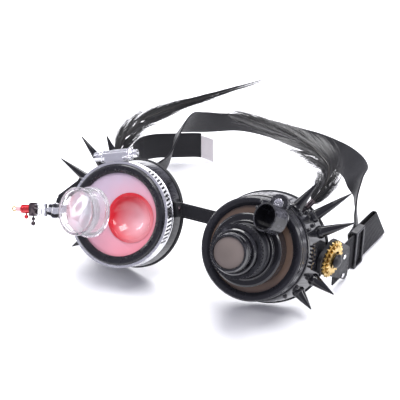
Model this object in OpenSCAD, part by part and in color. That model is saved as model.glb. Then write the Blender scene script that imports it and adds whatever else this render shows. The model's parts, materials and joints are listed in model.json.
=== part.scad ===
// Steampunk goggles: a red-lensed eye with a clamp band and a swinging loupe,
// and a scope eye with a telescoping barrel, joined by a bridge and a strap.
// Sizes are in millimetres. +X is the scope side, -Y the front and +Z up, as
// the goggles lie on a table. The eyes are drawn about their own axis, with the
// front of the lens ring at depth 0, and are then tipped back by eye_tilt.

/* [Eyes] */
// Distance between the two lens axes
eye_spacing = 86; // [80:1:96]
// Tip of the lens axes above the horizontal, in degrees
eye_tilt = 30; // [26:1:34]
// How far a cup stands outside its lens ring
cup_step = 1; // [0.4:0.1:2]
// Growth of the cup radius per millimetre of depth
cup_flare = 0.12; // [0.08:0.01:0.15]
// Wall thickness of a cup
cup_wall = 3; // [2.4:0.1:3.6]
// Depth of the cup to the middle of the face pad's back
face_depth = 36; // [34:1:38]
// Slant of the face side, deeper at the temple, in degrees
face_slant = 14.4; // [10:0.2:17]
// Thickness of the soft pad on the face side
pad_thick = 4.5; // [3.5:0.1:5.5]
// How far the pad stands outside the cup
pad_proud = 0.6; // [0.2:0.1:1]

/* [Lens rings] */
// Outer radius of a lens ring
ring_r = 30.2; // [29.6:0.1:30.4]
// How far a lens ring's front lip reaches in from its outer radius
lip_reach = 5.2; // [4.2:0.1:7.2]
// Depth of a lens ring's wall
ring_depth = 13; // [12:0.2:14]
// Thickness of a lens ring's wall
ring_wall = 2.3; // [1.8:0.1:2.6]
// Thickness of a lens ring's front lip
lip_thick = 2.2; // [1.8:0.1:2.6]
// Thickness of a lens
lens_thick = 2; // [1.5:0.1:2.4]
// Clearance between pieces that screw or slide together
fit_gap = 0.3; // [0.2:0.05:0.4]
// Radius of the round dish set in the red lens
dish_r = 14; // [11:0.5:15]
// Offset of that dish towards the nose
dish_offset = 8.3; // [4:0.1:9]
// Depth of that dish
dish_depth = 8; // [5:0.5:10]

/* [Clamp] */
// Depth of the clamp band's front edge
band_depth = 2; // [1.5:0.1:2.5]
// Width of the clamp band
band_w = 9.5; // [8:0.1:10]
// Thickness of the clamp band
band_thick = 1.2; // [0.9:0.1:1.5]
// Spacing of the slots along the band
slot_pitch = 2.6; // [2.4:0.1:3.2]
// Place of the screw housing round the band, in degrees from the nose side
housing_angle = 107.5; // [95:0.5:115]
// Length of the screw housing
housing_len = 20.5; // [16:0.5:23]
// Outer radius of the screw housing
housing_r = 3.4; // [3:0.1:3.8]

/* [Loupe] */
// Outer radius of the loupe's rear flange
loupe_r = 15; // [13:0.1:16]
// Length of the loupe barrel
loupe_len = 13; // [10:0.5:15]
// Angle that the loupe stands open, in degrees
loupe_open = 17; // [10:1:30]
// Distance from the loupe's hinge to its optical axis
loupe_reach = 29; // [27:0.5:31]
// Radius of the loupe's hinge pin
hinge_pin_r = 1; // [0.8:0.05:1.2]
// Length of the rods between the hinge and the clamp block
rod_len = 10; // [8:0.5:14]

/* [Scope] */
// Radius of the scope's base
base_r = 21; // [19.5:0.1:22]
// Height of the scope's base in front of the lens ring
base_h = 9.4; // [8:0.1:11]
// Radius of the focus ring
focus_r = 15.5; // [14.8:0.1:16]
// Front of the focus ring, ahead of the lens ring
focus_front = 25.5; // [23:0.5:27]
// Radius of the draw tube
draw_r = 12.8; // [12.4:0.1:13.2]
// Front of the draw tube, ahead of the lens ring
draw_front = 30; // [28.5:0.5:32]
// Radius of the nose tube
nose_r = 11; // [10.6:0.1:11.2]
// Front of the nose tube, ahead of the lens ring
nose_front = 38; // [36:0.5:40]
// Radius of the glass in the nose
nose_glass_r = 8.7; // [8:0.1:9]
// Number of notches round the focus ring
focus_notches = 48; // [36:4:60]

/* [Sight tube] */
// Outer radius of the sight tube
sight_r = 8.2; // [7:0.1:8.4]
// Length of the sight tube
sight_len = 10; // [8:0.5:11]
// Wall thickness of the sight tube
sight_wall = 1; // [0.8:0.1:1.5]
// Radius of the knob that holds the sight tube
knob_r = 5; // [4:0.1:5.5]
// Thickness of that knob
knob_thick = 4; // [3:0.5:5]

/* [Spikes] */
// Radius of a spike's foot
spike_r = 3.9; // [3:0.1:4.1]
// Length of a long spike
spike_len = 24; // [20:1:26]
// Length of a short spike
short_spike_len = 13; // [10:1:16]
// Radius of the small round studs between the spikes
stud_r = 1.3; // [1:0.1:1.6]

/* [Gears] */
// Outer radius of the large brass gear
gear_r = 11.5; // [10:0.5:13]
// Number of teeth on the large gear
gear_teeth = 24; // [18:2:30]
// Thickness of each gear
gear_thick = 1.2; // [1:0.1:1.6]
// Radius of the axle that the gears turn on
axle_r = 2; // [1.6:0.1:2.4]

/* [Side straps] */
// Width of the side webbing
web_w = 24; // [20:0.5:25]
// Thickness of the side webbing
web_thick = 1.2; // [1:0.1:1.4]
// Length of webbing behind the wing
web_len = 47.5; // [42:0.5:50]
// Turn of the webbing away from straight back, in degrees
web_splay = 11; // [8:1:14]
// Length of the slider along the webbing
slider_len = 11; // [9:0.5:13]
// Thickness of the slider's bars
slider_bar = 1.3; // [1:0.1:1.6]
// Thickness of a leather wing
wing_thick = 2.4; // [2:0.1:3]

/* [Head strap] */
// Width of the elastic head strap
strap_w = 19; // [16:0.5:20]
// Thickness of the elastic
strap_thick = 1.4; // [1:0.1:1.8]
// Width of the loose strap end
tail_w = 20; // [16:0.5:21]
// Length of the blank tag on the loose end
tag_len = 11; // [8:0.5:14]

/* [Feathers] */
// Widest half width of a feather
feather_half_w = 9; // [6:0.5:11]
// Thickness of a feather at its shaft
feather_thick = 2; // [1.4:0.1:2.6]

/* [Hidden] */
$fn = 96;

// Colours
black_plastic = "#1b1b20";
soft_black = "#26262b";
steel = "#d6d7d9";
chrome = "#e4e6ea";
brass = "#c7a04a";
red_glass = "#e0626e";
bronze_glass = "#6f5f55";

// Derived sizes of the eyes
touch = 0.1;
rest_gap = 0.3;
cup_r = ring_r + cup_step;
opening_r = ring_r - lip_reach;
cone_back = 60;
neck_r = ring_r - ring_wall - fit_gap;
neck_wall = 2.2;
lens_front = lip_thick + touch;
neck_front = lens_front + lens_thick + touch;
lens_r = neck_r - touch;
shell_front = ring_depth + fit_gap;
shell_end = face_depth - pad_thick;
pad_r = cup_r + cup_flare * (face_depth - shell_front) + pad_proud;
lowest_angle = atan(tan(face_slant) * tan(eye_tilt));
lowest_r = pad_r / (1 - cup_flare * tan(face_slant) * sin(lowest_angle));
lowest_reach = norm([cos(eye_tilt), tan(face_slant) * sin(eye_tilt)]) * lowest_r;
rest_height = lowest_reach + face_depth * sin(eye_tilt);
origin_x = 9.73;
origin_y = -73.63;
eye_x = eye_spacing / 2;
cut_block = 160;

// Radius of a cup's outside at a depth
function shell_r(depth) = cup_r + cup_flare * (depth - shell_front);
function unit(v) = v / norm(v);
function spin_z(v, a) = [v[0] * cos(a) - v[1] * sin(a), v[0] * sin(a) + v[1] * cos(a), v[2]];

// Frames: the table, the tipped goggles, and one eye (side -1 red, +1 scope)
module on_table() translate([origin_x, origin_y, 0]) children();
module goggles() translate([origin_x, origin_y, rest_height]) rotate([-eye_tilt, 0, 0]) children();
module eye(side) goggles() translate([side * eye_x, 0, 0]) children();
module around(angle) rotate([0, -angle, 0]) children();
module temple_angle(side, angle) around(side > 0 ? angle : 180 - angle) children();

// A solid turned about the eye axis from points of [radius, depth]
module turned(points, sides = 128) rotate([-90, 0, 0]) rotate_extrude($fn = sides) polygon(points);

// A round bar along the depth of the eye
module bar_y(r, y0, y1, sides = 48)
    translate([0, y0, 0]) rotate([-90, 0, 0]) cylinder(r = r, h = y1 - y0, $fn = sides);

// Everything deeper than the slanted face plane at this depth
module beyond_face(side, depth)
    translate([0, depth, 0]) rotate([0, 0, side * face_slant])
        translate([-cut_block / 2, 0, -cut_block / 2]) cube([cut_block, cut_block / 2, cut_block]);

// Points along a smooth curve through chosen points
function curve_point(p, i, t) =
    let (n = len(p) - 1, a = p[max(i - 1, 0)], b = p[i], c = p[min(i + 1, n)], d = p[min(i + 2, n)])
    0.5 * (2 * b + (c - a) * t + (2 * a - 5 * b + 4 * c - d) * t * t + (3 * b - a - 3 * c + d) * t * t * t);
function smooth_curve(p, steps) =
    concat([for (i = [0 : len(p) - 2]) for (k = [0 : steps - 1]) curve_point(p, i, k / steps)],
        [p[len(p) - 1]]);
function tangent(p, i) = unit(p[min(i + 1, len(p) - 1)] - p[max(i - 1, 0)]);
function square_to(w, t) = unit(w - (w * t) * t);

// A closed tube of rings with the same number of points in each, in triangles
module skin(rings) {
    count = len(rings);
    sides = len(rings[0]);
    faces = concat(
        [for (j = [1 : sides - 2]) [0, j + 1, j]],
        [for (i = [0 : count - 2]) for (j = [0 : sides - 1])
            [i * sides + j, i * sides + (j + 1) % sides, (i + 1) * sides + (j + 1) % sides]],
        [for (i = [0 : count - 2]) for (j = [0 : sides - 1])
            [i * sides + j, (i + 1) * sides + (j + 1) % sides, (i + 1) * sides + j]],
        [for (j = [1 : sides - 2])
            [(count - 1) * sides, (count - 1) * sides + j, (count - 1) * sides + j + 1]]);
    polyhedron(points = [for (r = rings) for (p = r) p], faces = faces);
}

// A flat band along a route, with its width along the given directions
module band_along(route, leans, width, thick, steps = 3) {
    p = smooth_curve(route, steps);
    w = smooth_curve(leans, steps);
    skin([for (i = [0 : len(p) - 1])
        let (t = tangent(p, i), a = square_to(w[i], t) * width / 2, n = cross(t, unit(a)) * thick / 2)
        [p[i] + a + n, p[i] - a + n, p[i] - a - n, p[i] + a - n]]);
}

// The two cups and their pads
module cup(side) color(black_plastic) eye(side) difference() {
    union() {
        turned([[neck_r - neck_wall, neck_front], [neck_r, neck_front], [neck_r, shell_front],
            [cup_r - 0.5, shell_front], [cup_r, shell_front + 0.6], [shell_r(cone_back), cone_back],
            [shell_r(cone_back) - cup_wall, cone_back], [cup_r - cup_wall, shell_front + neck_wall],
            [neck_r - neck_wall, shell_front]]);
        for (k = [0 : vent_ribs - 1]) temple_angle(side, vent_angle - k * vent_step)
            translate([shell_r(vent_depth) - 0.6, vent_depth - vent_len / 2, -vent_rib / 2])
                cube([vent_rise + 0.6, vent_len, vent_rib]);
    }
    beyond_face(side, shell_end);
}
vent_ribs = 6;
vent_angle = 15;
vent_step = 4.3;
vent_depth = 19;
vent_len = 5;
vent_rib = 1.3;
vent_rise = 1.4;

module red_cup() cup(-1);
module scope_cup() cup(1);

// The pad follows the slanted end of the cup, rounded at its outer edge
module face_pad(side) color(soft_black) eye(side) intersection() {
    turned([[shell_r(0) - pad_in, 0], [shell_r(0) + pad_proud, 0],
        [shell_r(cone_back) + pad_proud, cone_back],
        [shell_r(cone_back) - pad_in, cone_back]]);
    translate([0, shell_end, 0]) rotate([0, 0, side * face_slant])
        translate([-cut_block / 2, 0, -cut_block / 2])
            cube([cut_block, pad_thick * cos(face_slant), cut_block]);
}
pad_in = cup_wall - 0.4;
module red_face_pad() face_pad(-1);
module scope_face_pad() face_pad(1);

// Lens rings screw over the necks of the cups
module lens_ring() turned([[opening_r, 1.2], [opening_r + 2.2, 0], [ring_r - 0.9, 0], [ring_r, 0.9],
    [ring_r, ring_depth], [ring_r - ring_wall, ring_depth], [ring_r - ring_wall, lip_thick],
    [opening_r, lip_thick]]);
module red_lens_ring() color(black_plastic) eye(-1) lens_ring();
module scope_lens_ring() color(black_plastic) eye(1) difference() {
    lens_ring();
    for (k = [0 : groove_count - 1]) let (d = groove_start + k * groove_pitch)
        turned([[ring_r - groove_deep, d], [ring_r + 1, d - groove_w / 2], [ring_r + 1, d + groove_w * 1.5],
            [ring_r - groove_deep, d + groove_w]]);
}
groove_count = 3;
groove_deep = 0.35;
groove_w = 0.6;
groove_start = ring_depth * 0.31;
groove_pitch = ring_depth * 0.27;

// The flat lenses, one with a round dish set into it
module red_lens() color(red_glass, 0.6) eye(-1) difference() {
    bar_y(lens_r, lens_front, lens_front + lens_thick, 128);
    translate([dish_offset, 0, 0]) bar_y(dish_r + touch, 0, lens_front + 2 * lens_thick, 96);
}
// The dish is a thin bowl with a flange on the lens
dish_wall = 1;
dish_lip = 0.6;
dish_steps = 12;
module red_lens_dish() color(red_glass, 0.8) eye(-1) translate([dish_offset, 0, 0]) {
    open_r = dish_r - dish_wall;
    bow = dish_depth - dish_wall + dish_lip;
    ball = (open_r * open_r + bow * bow) / (2 * bow);
    mid = lens_front + dish_depth - dish_wall - ball;
    back_ball = ball + dish_wall;
    edge = sqrt(back_ball * back_ball - pow(lens_front - mid, 2));
    turned(concat(
        [for (k = [0 : dish_steps]) let (x = open_r * k / dish_steps) [x, mid + sqrt(ball * ball - x * x)]],
        [[dish_r + dish_wall, lens_front - dish_lip], [dish_r + dish_wall, lens_front - touch],
            [dish_r, lens_front - touch]],
        [for (k = [dish_steps : -1 : 0]) let (x = edge * k / dish_steps)
            [x, mid + sqrt(back_ball * back_ball - x * x)]]), 96);
}
module bronze_lens() color(bronze_glass, 0.6) eye(1) bar_y(lens_r, lens_front, lens_front + lens_thick, 128);

// The slotted band, drawn tight by a screw in a housing
band_in = ring_r + fit_gap;
band_out = band_in + band_thick;
slot_step = slot_pitch / band_out * 180 / PI;
slot_len = band_w * 0.64;
slot_gap = slot_pitch * 0.5;
slot_slant = 13;
band_bead = 0.35;
module clamp_band() color(steel) eye(-1) difference() {
    turned([[band_in, band_depth], [band_out + band_bead, band_depth],
        [band_out + band_bead, band_depth + 0.7],
        [band_out, band_depth + 1], [band_out, band_depth + band_w - 1],
        [band_out + band_bead, band_depth + band_w - 0.7], [band_out + band_bead, band_depth + band_w],
        [band_in, band_depth + band_w]]);
    for (a = [-18 : slot_step : 70]) band_slot(a);
    for (a = [122 : slot_step : 176]) band_slot(a);
}
module band_slot(angle) around(angle)
    translate([band_in - 1, band_depth + band_w / 2, 0]) rotate([slot_slant, 0, 0])
        translate([0, -slot_len / 2, -slot_gap / 2]) cube([band_thick + 2, slot_len, slot_gap]);

housing_x = band_out + 1.2 + housing_r - 0.4;
housing_y = band_depth + band_w / 2;
screw_r = housing_r - 1.1;
module at_housing() eye(-1) around(housing_angle) translate([housing_x, housing_y, 0]) children();
module clamp_housing() color(chrome) difference() {
    union() {
        at_housing() translate([0, 0, -housing_len / 2]) cylinder(r = housing_r, h = housing_len, $fn = 48);
        for (end = [-1, 1]) at_housing() translate([0, 0, end * (housing_len / 2 - 1.3) - 0.6])
            cylinder(r = housing_r + 0.35, h = 1.2, $fn = 48);
        at_housing() translate([band_out + touch - housing_x, -band_w / 2 - 0.6, -6.2])
            cube([housing_x - band_out - 1.2, band_w + 1.2, 12.4]);
    }
    at_housing() translate([0, 0, -housing_len]) cylinder(r = screw_r, h = 2 * housing_len, $fn = 48);
    eye(-1) bar_y(band_out + band_bead + touch, -20, 40, 128);
}
module clamp_screw() color(steel) at_housing() difference() {
    union() {
        translate([0, 0, -housing_len / 2 - 3.4]) cylinder(r = screw_r - 0.05, h = housing_len + 4, $fn = 48);
        translate([0, 0, housing_len / 2 + rest_gap]) cylinder(r = 2.9, h = 3.6, $fn = 48);
        translate([0, 0, -housing_len / 2 - 3.6]) cylinder(r = 2.1 + 0.3, h = 2.4, $fn = 48);
    }
    translate([-0.45, -4, housing_len / 2 + 2.6]) cube([0.9, 8, 3]);
    translate([0, 0, -housing_len / 2 - 5]) cylinder(r = 1.3, h = 3.4, $fn = 32);
}

// The loupe hangs on a pin in a bracket that is held by the clamp band
hinge = [-38.5, -4, -6.3];
loupe_rise = 5.6;
knuckle_r = 2.2;
knuckle_half = 1.9;
ear_thick = 1.8;
pin_gap = 0.05;
loupe_wall = 1.6;
loupe_front_r = loupe_r - 0.8;
module at_hinge() eye(-1) translate(hinge) children();
module at_loupe() at_hinge() rotate([0, 0, -loupe_open]) children();
module at_loupe_axis() at_loupe() translate([loupe_reach, 0, loupe_rise]) children();

module loupe_bracket() color(black_plastic) difference() {
    union() {
        for (end = [-1, 1]) at_hinge()
            translate([0, 0, end * (knuckle_half + 0.2 + ear_thick / 2) - ear_thick / 2]) {
                cylinder(r = knuckle_r, h = ear_thick, $fn = 48);
                translate([-knuckle_r, 0, 0]) cube([2 * knuckle_r, 4.2, ear_thick]);
            }
        at_hinge() translate([-knuckle_r, 2.8, -4.4]) cube([2 * knuckle_r, 1.6, 5.4 - hinge[2]]);
        eye(-1) hull() {
            translate([hinge[0] - 1.6, hinge[1] + 2.8, 0]) cube([3, 1.6, 3]);
            around(158) translate([band_out + band_bead + 0.2, band_depth + 0.6, -2]) cube([1.6, 5, 4]);
        }
        eye(-1) around(162) translate([band_out + band_bead + touch, band_depth + 0.3, -6])
            cube([1.6, band_w - 0.6, 12]);
        at_arm_pivot() for (end = [-1, 1])
            translate([0, 0, end * (arm_knuckle_half + 0.2 + 0.7) - 0.7]) {
                cylinder(r = 1.9, h = 1.4, $fn = 48);
                translate([0, -0.9, 0]) cube([4.4, 2.8, 1.4]);
            }
        at_arm_pivot() translate([3, -0.9, -3.2]) cube([1.8, 2.8, 6.4]);
    }
    at_hinge() translate([0, 0, -10]) cylinder(r = hinge_pin_r + pin_gap, h = 20, $fn = 32);
    at_arm_pivot() translate([0, 0, -10]) cylinder(r = arm_pin_r + pin_gap, h = 20, $fn = 32);
    eye(-1) bar_y(band_out + band_bead + touch, -20, 40, 128);
}
module loupe_hinge_pin() color(steel) at_hinge() {
    reach = knuckle_half + 0.2 + ear_thick;
    translate([0, 0, -reach - 0.2]) cylinder(r = hinge_pin_r, h = 2 * reach + 0.4, $fn = 32);
    for (end = [-1, 1]) translate([0, 0, end * (reach + 0.5) - 0.4])
        cylinder(r = hinge_pin_r + 0.7, h = 0.8, $fn = 32);
}
module loupe_arm() color(chrome) difference() {
    union() {
        at_loupe() translate([0, 0, -knuckle_half]) cylinder(r = knuckle_r, h = 2 * knuckle_half, $fn = 48);
        at_loupe() hull() {
            translate([1.2, -knuckle_r, -knuckle_half]) cube([1, 1.8, 2 * knuckle_half - 0.6]);
            translate([loupe_reach - loupe_r - 3, -knuckle_r, loupe_rise - 4]) cube([1, 1.8, 5]);
        }
        at_loupe() translate([loupe_reach - loupe_r - 3, -knuckle_r, loupe_rise - 4]) cube([6, 1.8, 5]);
    }
    at_loupe() translate([0, 0, -10]) cylinder(r = hinge_pin_r + pin_gap, h = 20, $fn = 32);
    at_loupe_axis() rotate([90, 0, 0]) translate([0, 0, -10])
        cylinder(r = loupe_r + touch, h = 40, $fn = 96);
}
module loupe_ring() color("#dfe3e8", 0.6) at_loupe_axis() turned([
    [loupe_r - loupe_wall - 0.9, 0], [loupe_r, 0], [loupe_r, -2.2], [loupe_r - 0.8, -2.8],
    [loupe_front_r - 0.4, -loupe_len + 2], [loupe_front_r, -loupe_len + 1.4], [loupe_front_r, -loupe_len],
    [loupe_front_r - 1.6, -loupe_len], [loupe_front_r - 2, -loupe_len + 1.6],
    [loupe_front_r - loupe_wall - 0.4, -loupe_len + 2], [loupe_r - loupe_wall - 0.9, -1.2]], 96);
module loupe_glass() color("#eef3f8", 0.35) at_loupe_axis() {
    r = loupe_front_r - loupe_wall - 0.6;
    bow = 3.4;
    ball = (r * r + bow * bow) / (2 * bow);
    y = -loupe_len + 4.4;
    turned(concat([[0, y + 2.4 + bow]],
        [for (k = [1 : 8]) let (x = r * k / 8) [x, y + 2.4 + bow - ball + sqrt(ball * ball - x * x)]],
        [for (k = [8 : -1 : 0]) let (x = r * k / 8) [x, y - bow + ball - sqrt(ball * ball - x * x)]]), 96);
}

// The twin-rod arm beyond the hinge, with its red nut and brass eyelet
arm_pivot = [-43.6, -0.4, -7];
arm_droop = 11.7;
arm_pin_r = 0.8;
arm_knuckle_half = 1.4;
rod_r = 0.55;
rod_high = 2.6;
rod_mid = 0.5;
rod_low = -3.2;
block_len = 4;
nut_len = 5.6;
nut_r = 2.4;
sleeve_len = 3.8;
sleeve_r = 1.6;
spindle_r = 0.6;
eyelet_r = 1.25;
eyelet_wire = 0.42;
module at_arm_pivot() eye(-1) translate(arm_pivot) children();
module at_arm() at_arm_pivot() rotate([0, 0, 180]) rotate([0, arm_droop, 0]) children();
module bar_x(r, x0, x1, sides = 24)
    translate([x0, 0, 0]) rotate([0, 90, 0]) cylinder(r = r, h = x1 - x0, $fn = sides);
block_x = rod_len;
rod_end = block_x + block_len - 2;
nut_x = block_x + block_len + touch;
sleeve_x = nut_x + nut_len + touch;
eyelet_x = sleeve_x + sleeve_len + eyelet_r + eyelet_wire + touch;
thumb_x = nut_x + nut_len / 2;
module arm_rods() color(steel) difference() {
    union() {
        at_arm_pivot() translate([0, 0, -arm_knuckle_half])
            cylinder(r = 1.9, h = 2 * arm_knuckle_half, $fn = 48);
        at_arm() translate([0.5, -0.8, -1]) cube([2.6, 1.6, 2]);
        at_arm() translate([2.8, -0.8, rod_low - 0.9]) cube([1.2, 1.6, rod_high - rod_low + 1.8]);
        at_arm() for (z = [rod_high, rod_mid, rod_low]) translate([0, 0, z]) bar_x(rod_r, 3.4, rod_end);
        at_arm() translate([block_x * 0.62, 0, rod_low]) cylinder(r = 0.45, h = rod_mid - rod_low, $fn = 20);
    }
    at_arm_pivot() translate([0, 0, -8]) cylinder(r = arm_pin_r + pin_gap, h = 16, $fn = 32);
}
module arm_pivot_pin() color(steel) at_arm_pivot() {
    reach = arm_knuckle_half + 1.6;
    translate([0, 0, -reach - 0.2]) cylinder(r = arm_pin_r, h = 2 * reach + 0.4, $fn = 32);
    for (end = [-1, 1]) translate([0, 0, end * (reach + 0.45) - 0.35]) cylinder(r = 1.4, h = 0.7, $fn = 32);
}
module arm_block() color("#4a3a48") at_arm() difference() {
    union() {
        translate([block_x, -2.1, rod_low - 1]) cube([block_len, 4.2, rod_high - rod_low + 2]);
        translate([block_x + 0.8, -2.1, rod_high + 1]) cube([block_len - 1.6, 4.2, 0.5]);
    }
    for (z = [rod_high, rod_mid, rod_low]) translate([0, 0, z]) bar_x(rod_r + pin_gap, 0, rod_end + touch);
    bar_x(spindle_r + pin_gap, rod_end + 0.3, block_x + 8);
    translate([block_x + block_len / 2, 0, rod_low - 2]) cylinder(r = 0.5, h = 1.3, $fn = 24);
}
module arm_red_nut() color("#c0282c") at_arm() difference() {
    union() {
        bar_x(nut_r, nut_x, nut_x + nut_len, 48);
        bar_x(nut_r + 0.35, nut_x + nut_len - 1.2, nut_x + nut_len, 48);
        for (a = [0 : 30 : 330]) rotate([a, 0, 0])
            translate([nut_x + 0.4, -0.3, nut_r - 0.2]) cube([nut_len - 2, 0.6, 0.5]);
    }
    bar_x(spindle_r + pin_gap, nut_x - 1, nut_x + nut_len + 1);
    translate([thumb_x, 0, -nut_r - 2]) cylinder(r = 0.55, h = 3.4, $fn = 24);
}
module arm_sleeve() color("#e8a9ae", 0.7) at_arm() difference() {
    bar_x(sleeve_r, sleeve_x, sleeve_x + sleeve_len, 40);
    bar_x(spindle_r + pin_gap, sleeve_x - 1, sleeve_x + sleeve_len + 1);
}
module arm_eyelet() color(brass) at_arm() {
    translate([eyelet_x, 0, 0]) rotate([90, 0, 0]) rotate_extrude($fn = 48)
        translate([eyelet_r, 0]) circle(r = eyelet_wire, $fn = 24);
    bar_x(spindle_r, rod_end + 0.4, eyelet_x - eyelet_r);
}
module arm_thumb_screw() color("#b3232a") at_arm() translate([thumb_x, 0, 0]) {
    translate([0, 0, -nut_r - 1.9]) cylinder(r = 0.5, h = 2.8, $fn = 24);
    translate([0, 0, -nut_r - 2.4]) sphere(r = 1.35, $fn = 32);
}
module arm_beads() color("#3a2a30") at_arm() translate([block_x + block_len / 2, 0, rod_low - 1]) {
    translate([0, 0, -1.6]) cylinder(r = 0.45, h = 1.8, $fn = 20);
    translate([0, 0, -1.8]) sphere(r = 1.2, $fn = 28);
    translate([0, 0, -4.6]) cylinder(r = 0.4, h = 3, $fn = 20);
    translate([0, 0, -4.6]) sphere(r = 1.45, $fn = 28);
}

// Spikes and studs on the temple half of each cup: angle, depth, length, lean
mid_spike_len = spike_len * 0.78;
red_spike_plan = [[61, 21, mid_spike_len, -9], [45.5, 21, spike_len + 1.5, -12], [24, 20, spike_len + 2, 0],
    [-23, 24, short_spike_len + 1, 0], [-40, 21, short_spike_len, 0]];
scope_spike_plan = [[60, 20, mid_spike_len + 1, 0], [45, 33.5, spike_len + 2, 18],
    [28, 33, spike_len * 0.9, 8],
    [-22, 35, short_spike_len + 2, 6], [-39.5, 29, short_spike_len, 4]];
stud_plan = [[74, 17], [52, 17], [51, 27], [36, 25], [32, 16.5], [-32, 17], [-48, 17]];
shell_lean = atan(cup_flare);
module on_shell(side, angle, depth, lean = 0) temple_angle(side, angle)
    translate([shell_r(depth) + 0.02, depth, 0]) rotate([0, 0, lean - shell_lean])
        rotate([0, 90, 0]) children();
module spike(length) rotate_extrude($fn = 40) polygon([[0, -spike_root], [spike_r, -spike_root],
    [spike_r, 0.9], [spike_r - 0.5, 1.5], [spike_r * 0.54, length * 0.5], [0.42, length - 0.5],
    [0.2, length - 0.08], [0, length]]);
module outside_shell(side) difference() {
    children();
    eye(side) turned([[0, shell_front], [shell_r(shell_front) + touch / 2, shell_front],
        [shell_r(cone_back) + touch / 2, cone_back], [0, cone_back]]);
}
spike_root = 1.2;
module spikes(side, plan) color(black_plastic) outside_shell(side) eye(side)
    for (s = plan) on_shell(side, s[0], s[1], s[3]) spike(s[2]);
module red_spikes() spikes(-1, red_spike_plan);
module scope_spikes() spikes(1, scope_spike_plan);
module studs(side) color("#3c3c42") eye(side)
    for (s = stud_plan) on_shell(side, s[0], s[1]) {
        translate([0, 0, -0.02]) cylinder(r = stud_r, h = 0.7, $fn = 28);
        translate([0, 0, 0.5]) intersection() {
            sphere(r = stud_r, $fn = 28);
            cylinder(r = 2 * stud_r, h = stud_r, $fn = 28);
        }
    }
module red_studs() studs(-1);
module scope_studs() studs(1);

// The bridge lies against the nose side of both cups
bridge_depth = 20;
bridge_z = 10;
bridge_w = 8.8;
bridge_thick = 2;
bridge_leg = 5.6;
rivet_r = 1.5;
rivet_depth = bridge_depth - bridge_leg / 2 - 0.6;
module cup_clearance(side) translate([side * eye_x, 0, 0])
    turned([[0, 14], [shell_r(14) + touch, 14], [shell_r(40) + touch, 40], [0, 40]]);
module bridge() color(soft_black) goggles() difference() {
    union() {
        translate([-eye_x + cup_r * 0.85, bridge_depth - bridge_thick / 2, bridge_z - bridge_w / 2])
            cube([eye_spacing - cup_r * 1.7, bridge_thick, bridge_w]);
        for (side = [-1, 1]) intersection() {
            translate([side * eye_x, 0, 0]) turned([[shell_r(bridge_depth) - 1, bridge_depth - bridge_leg],
                [shell_r(bridge_depth - bridge_leg) + bridge_thick, bridge_depth - bridge_leg],
                [shell_r(bridge_depth) + bridge_thick, bridge_depth + bridge_thick / 2],
                [shell_r(bridge_depth) - 1, bridge_depth + bridge_thick / 2]]);
            translate([side * eye_x * 0.3 - 15, 0, bridge_z - bridge_w / 2]) cube([30, 60, bridge_w]);
        }
    }
    for (side = [-1, 1]) cup_clearance(side);
}
module bridge_rivets() color(steel) goggles() for (side = [-1, 1]) translate([side * eye_x, 0, 0])
    rotate([0, side > 0 ? -(180 - asin(bridge_z / cup_r)) : -asin(bridge_z / cup_r), 0])
        translate([shell_r(rivet_depth) + bridge_thick + 0.08, rivet_depth, 0]) rotate([0, 90, 0])
            rotate([shell_lean, 0, 0]) {
            cylinder(r = rivet_r, h = 0.5, $fn = 32);
            translate([0, 0, 0.5]) cylinder(r1 = rivet_r, r2 = rivet_r * 0.5, h = 0.5, $fn = 32);
        }

// The scope: a base on the lens, a notched focus ring, a draw tube and a nose
slide_gap = 0.15;
base_step_r = 17.1;
base_step_h = base_h + 2.2;
notch_len = 2.2;
nose_tail = nose_front - 20;
draw_tail = draw_front - 20;
module scope_base() color(black_plastic) eye(1)
    turned([[focus_r + slide_gap, lens_front - touch], [base_r, lens_front - touch], [base_r, -base_h + 1],
        [base_r - 1, -base_h], [base_step_r, -base_h], [base_step_r, -base_step_h + 0.6],
        [base_step_r - 0.6, -base_step_h], [focus_r + slide_gap, -base_step_h]]);
module focus_ring() color("#222226") eye(1) difference() {
    turned([[draw_r + slide_gap, 0], [focus_r, 0], [focus_r, -base_step_h - 1],
        [focus_r - 0.5, -base_step_h - 1.6], [focus_r - 0.5, -base_step_h - 2.6],
        [focus_r, -base_step_h - 3.2], [focus_r, -focus_front + notch_len + 1.4],
        [focus_r - 0.4, -focus_front + notch_len + 1], [focus_r - 0.4, -focus_front + notch_len + 0.4],
        [focus_r, -focus_front + notch_len], [focus_r, -focus_front], [draw_r + slide_gap, -focus_front]]);
    for (k = [0 : focus_notches - 1]) around(k * 360 / focus_notches)
        translate([focus_r - 0.6, -focus_front - 1, -0.45]) cube([2, notch_len + 0.6, 0.9]);
}
module draw_tube() color(black_plastic) eye(1)
    turned([[nose_tail_r + slide_gap, -draw_tail], [draw_r, -draw_tail], [draw_r, -draw_front + 1.2],
        [draw_r - 0.7, -draw_front], [nose_r + slide_gap, -draw_front],
        [nose_r + slide_gap, -draw_front + nose_socket],
        [nose_tail_r + slide_gap, -draw_front + nose_socket]]);
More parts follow.
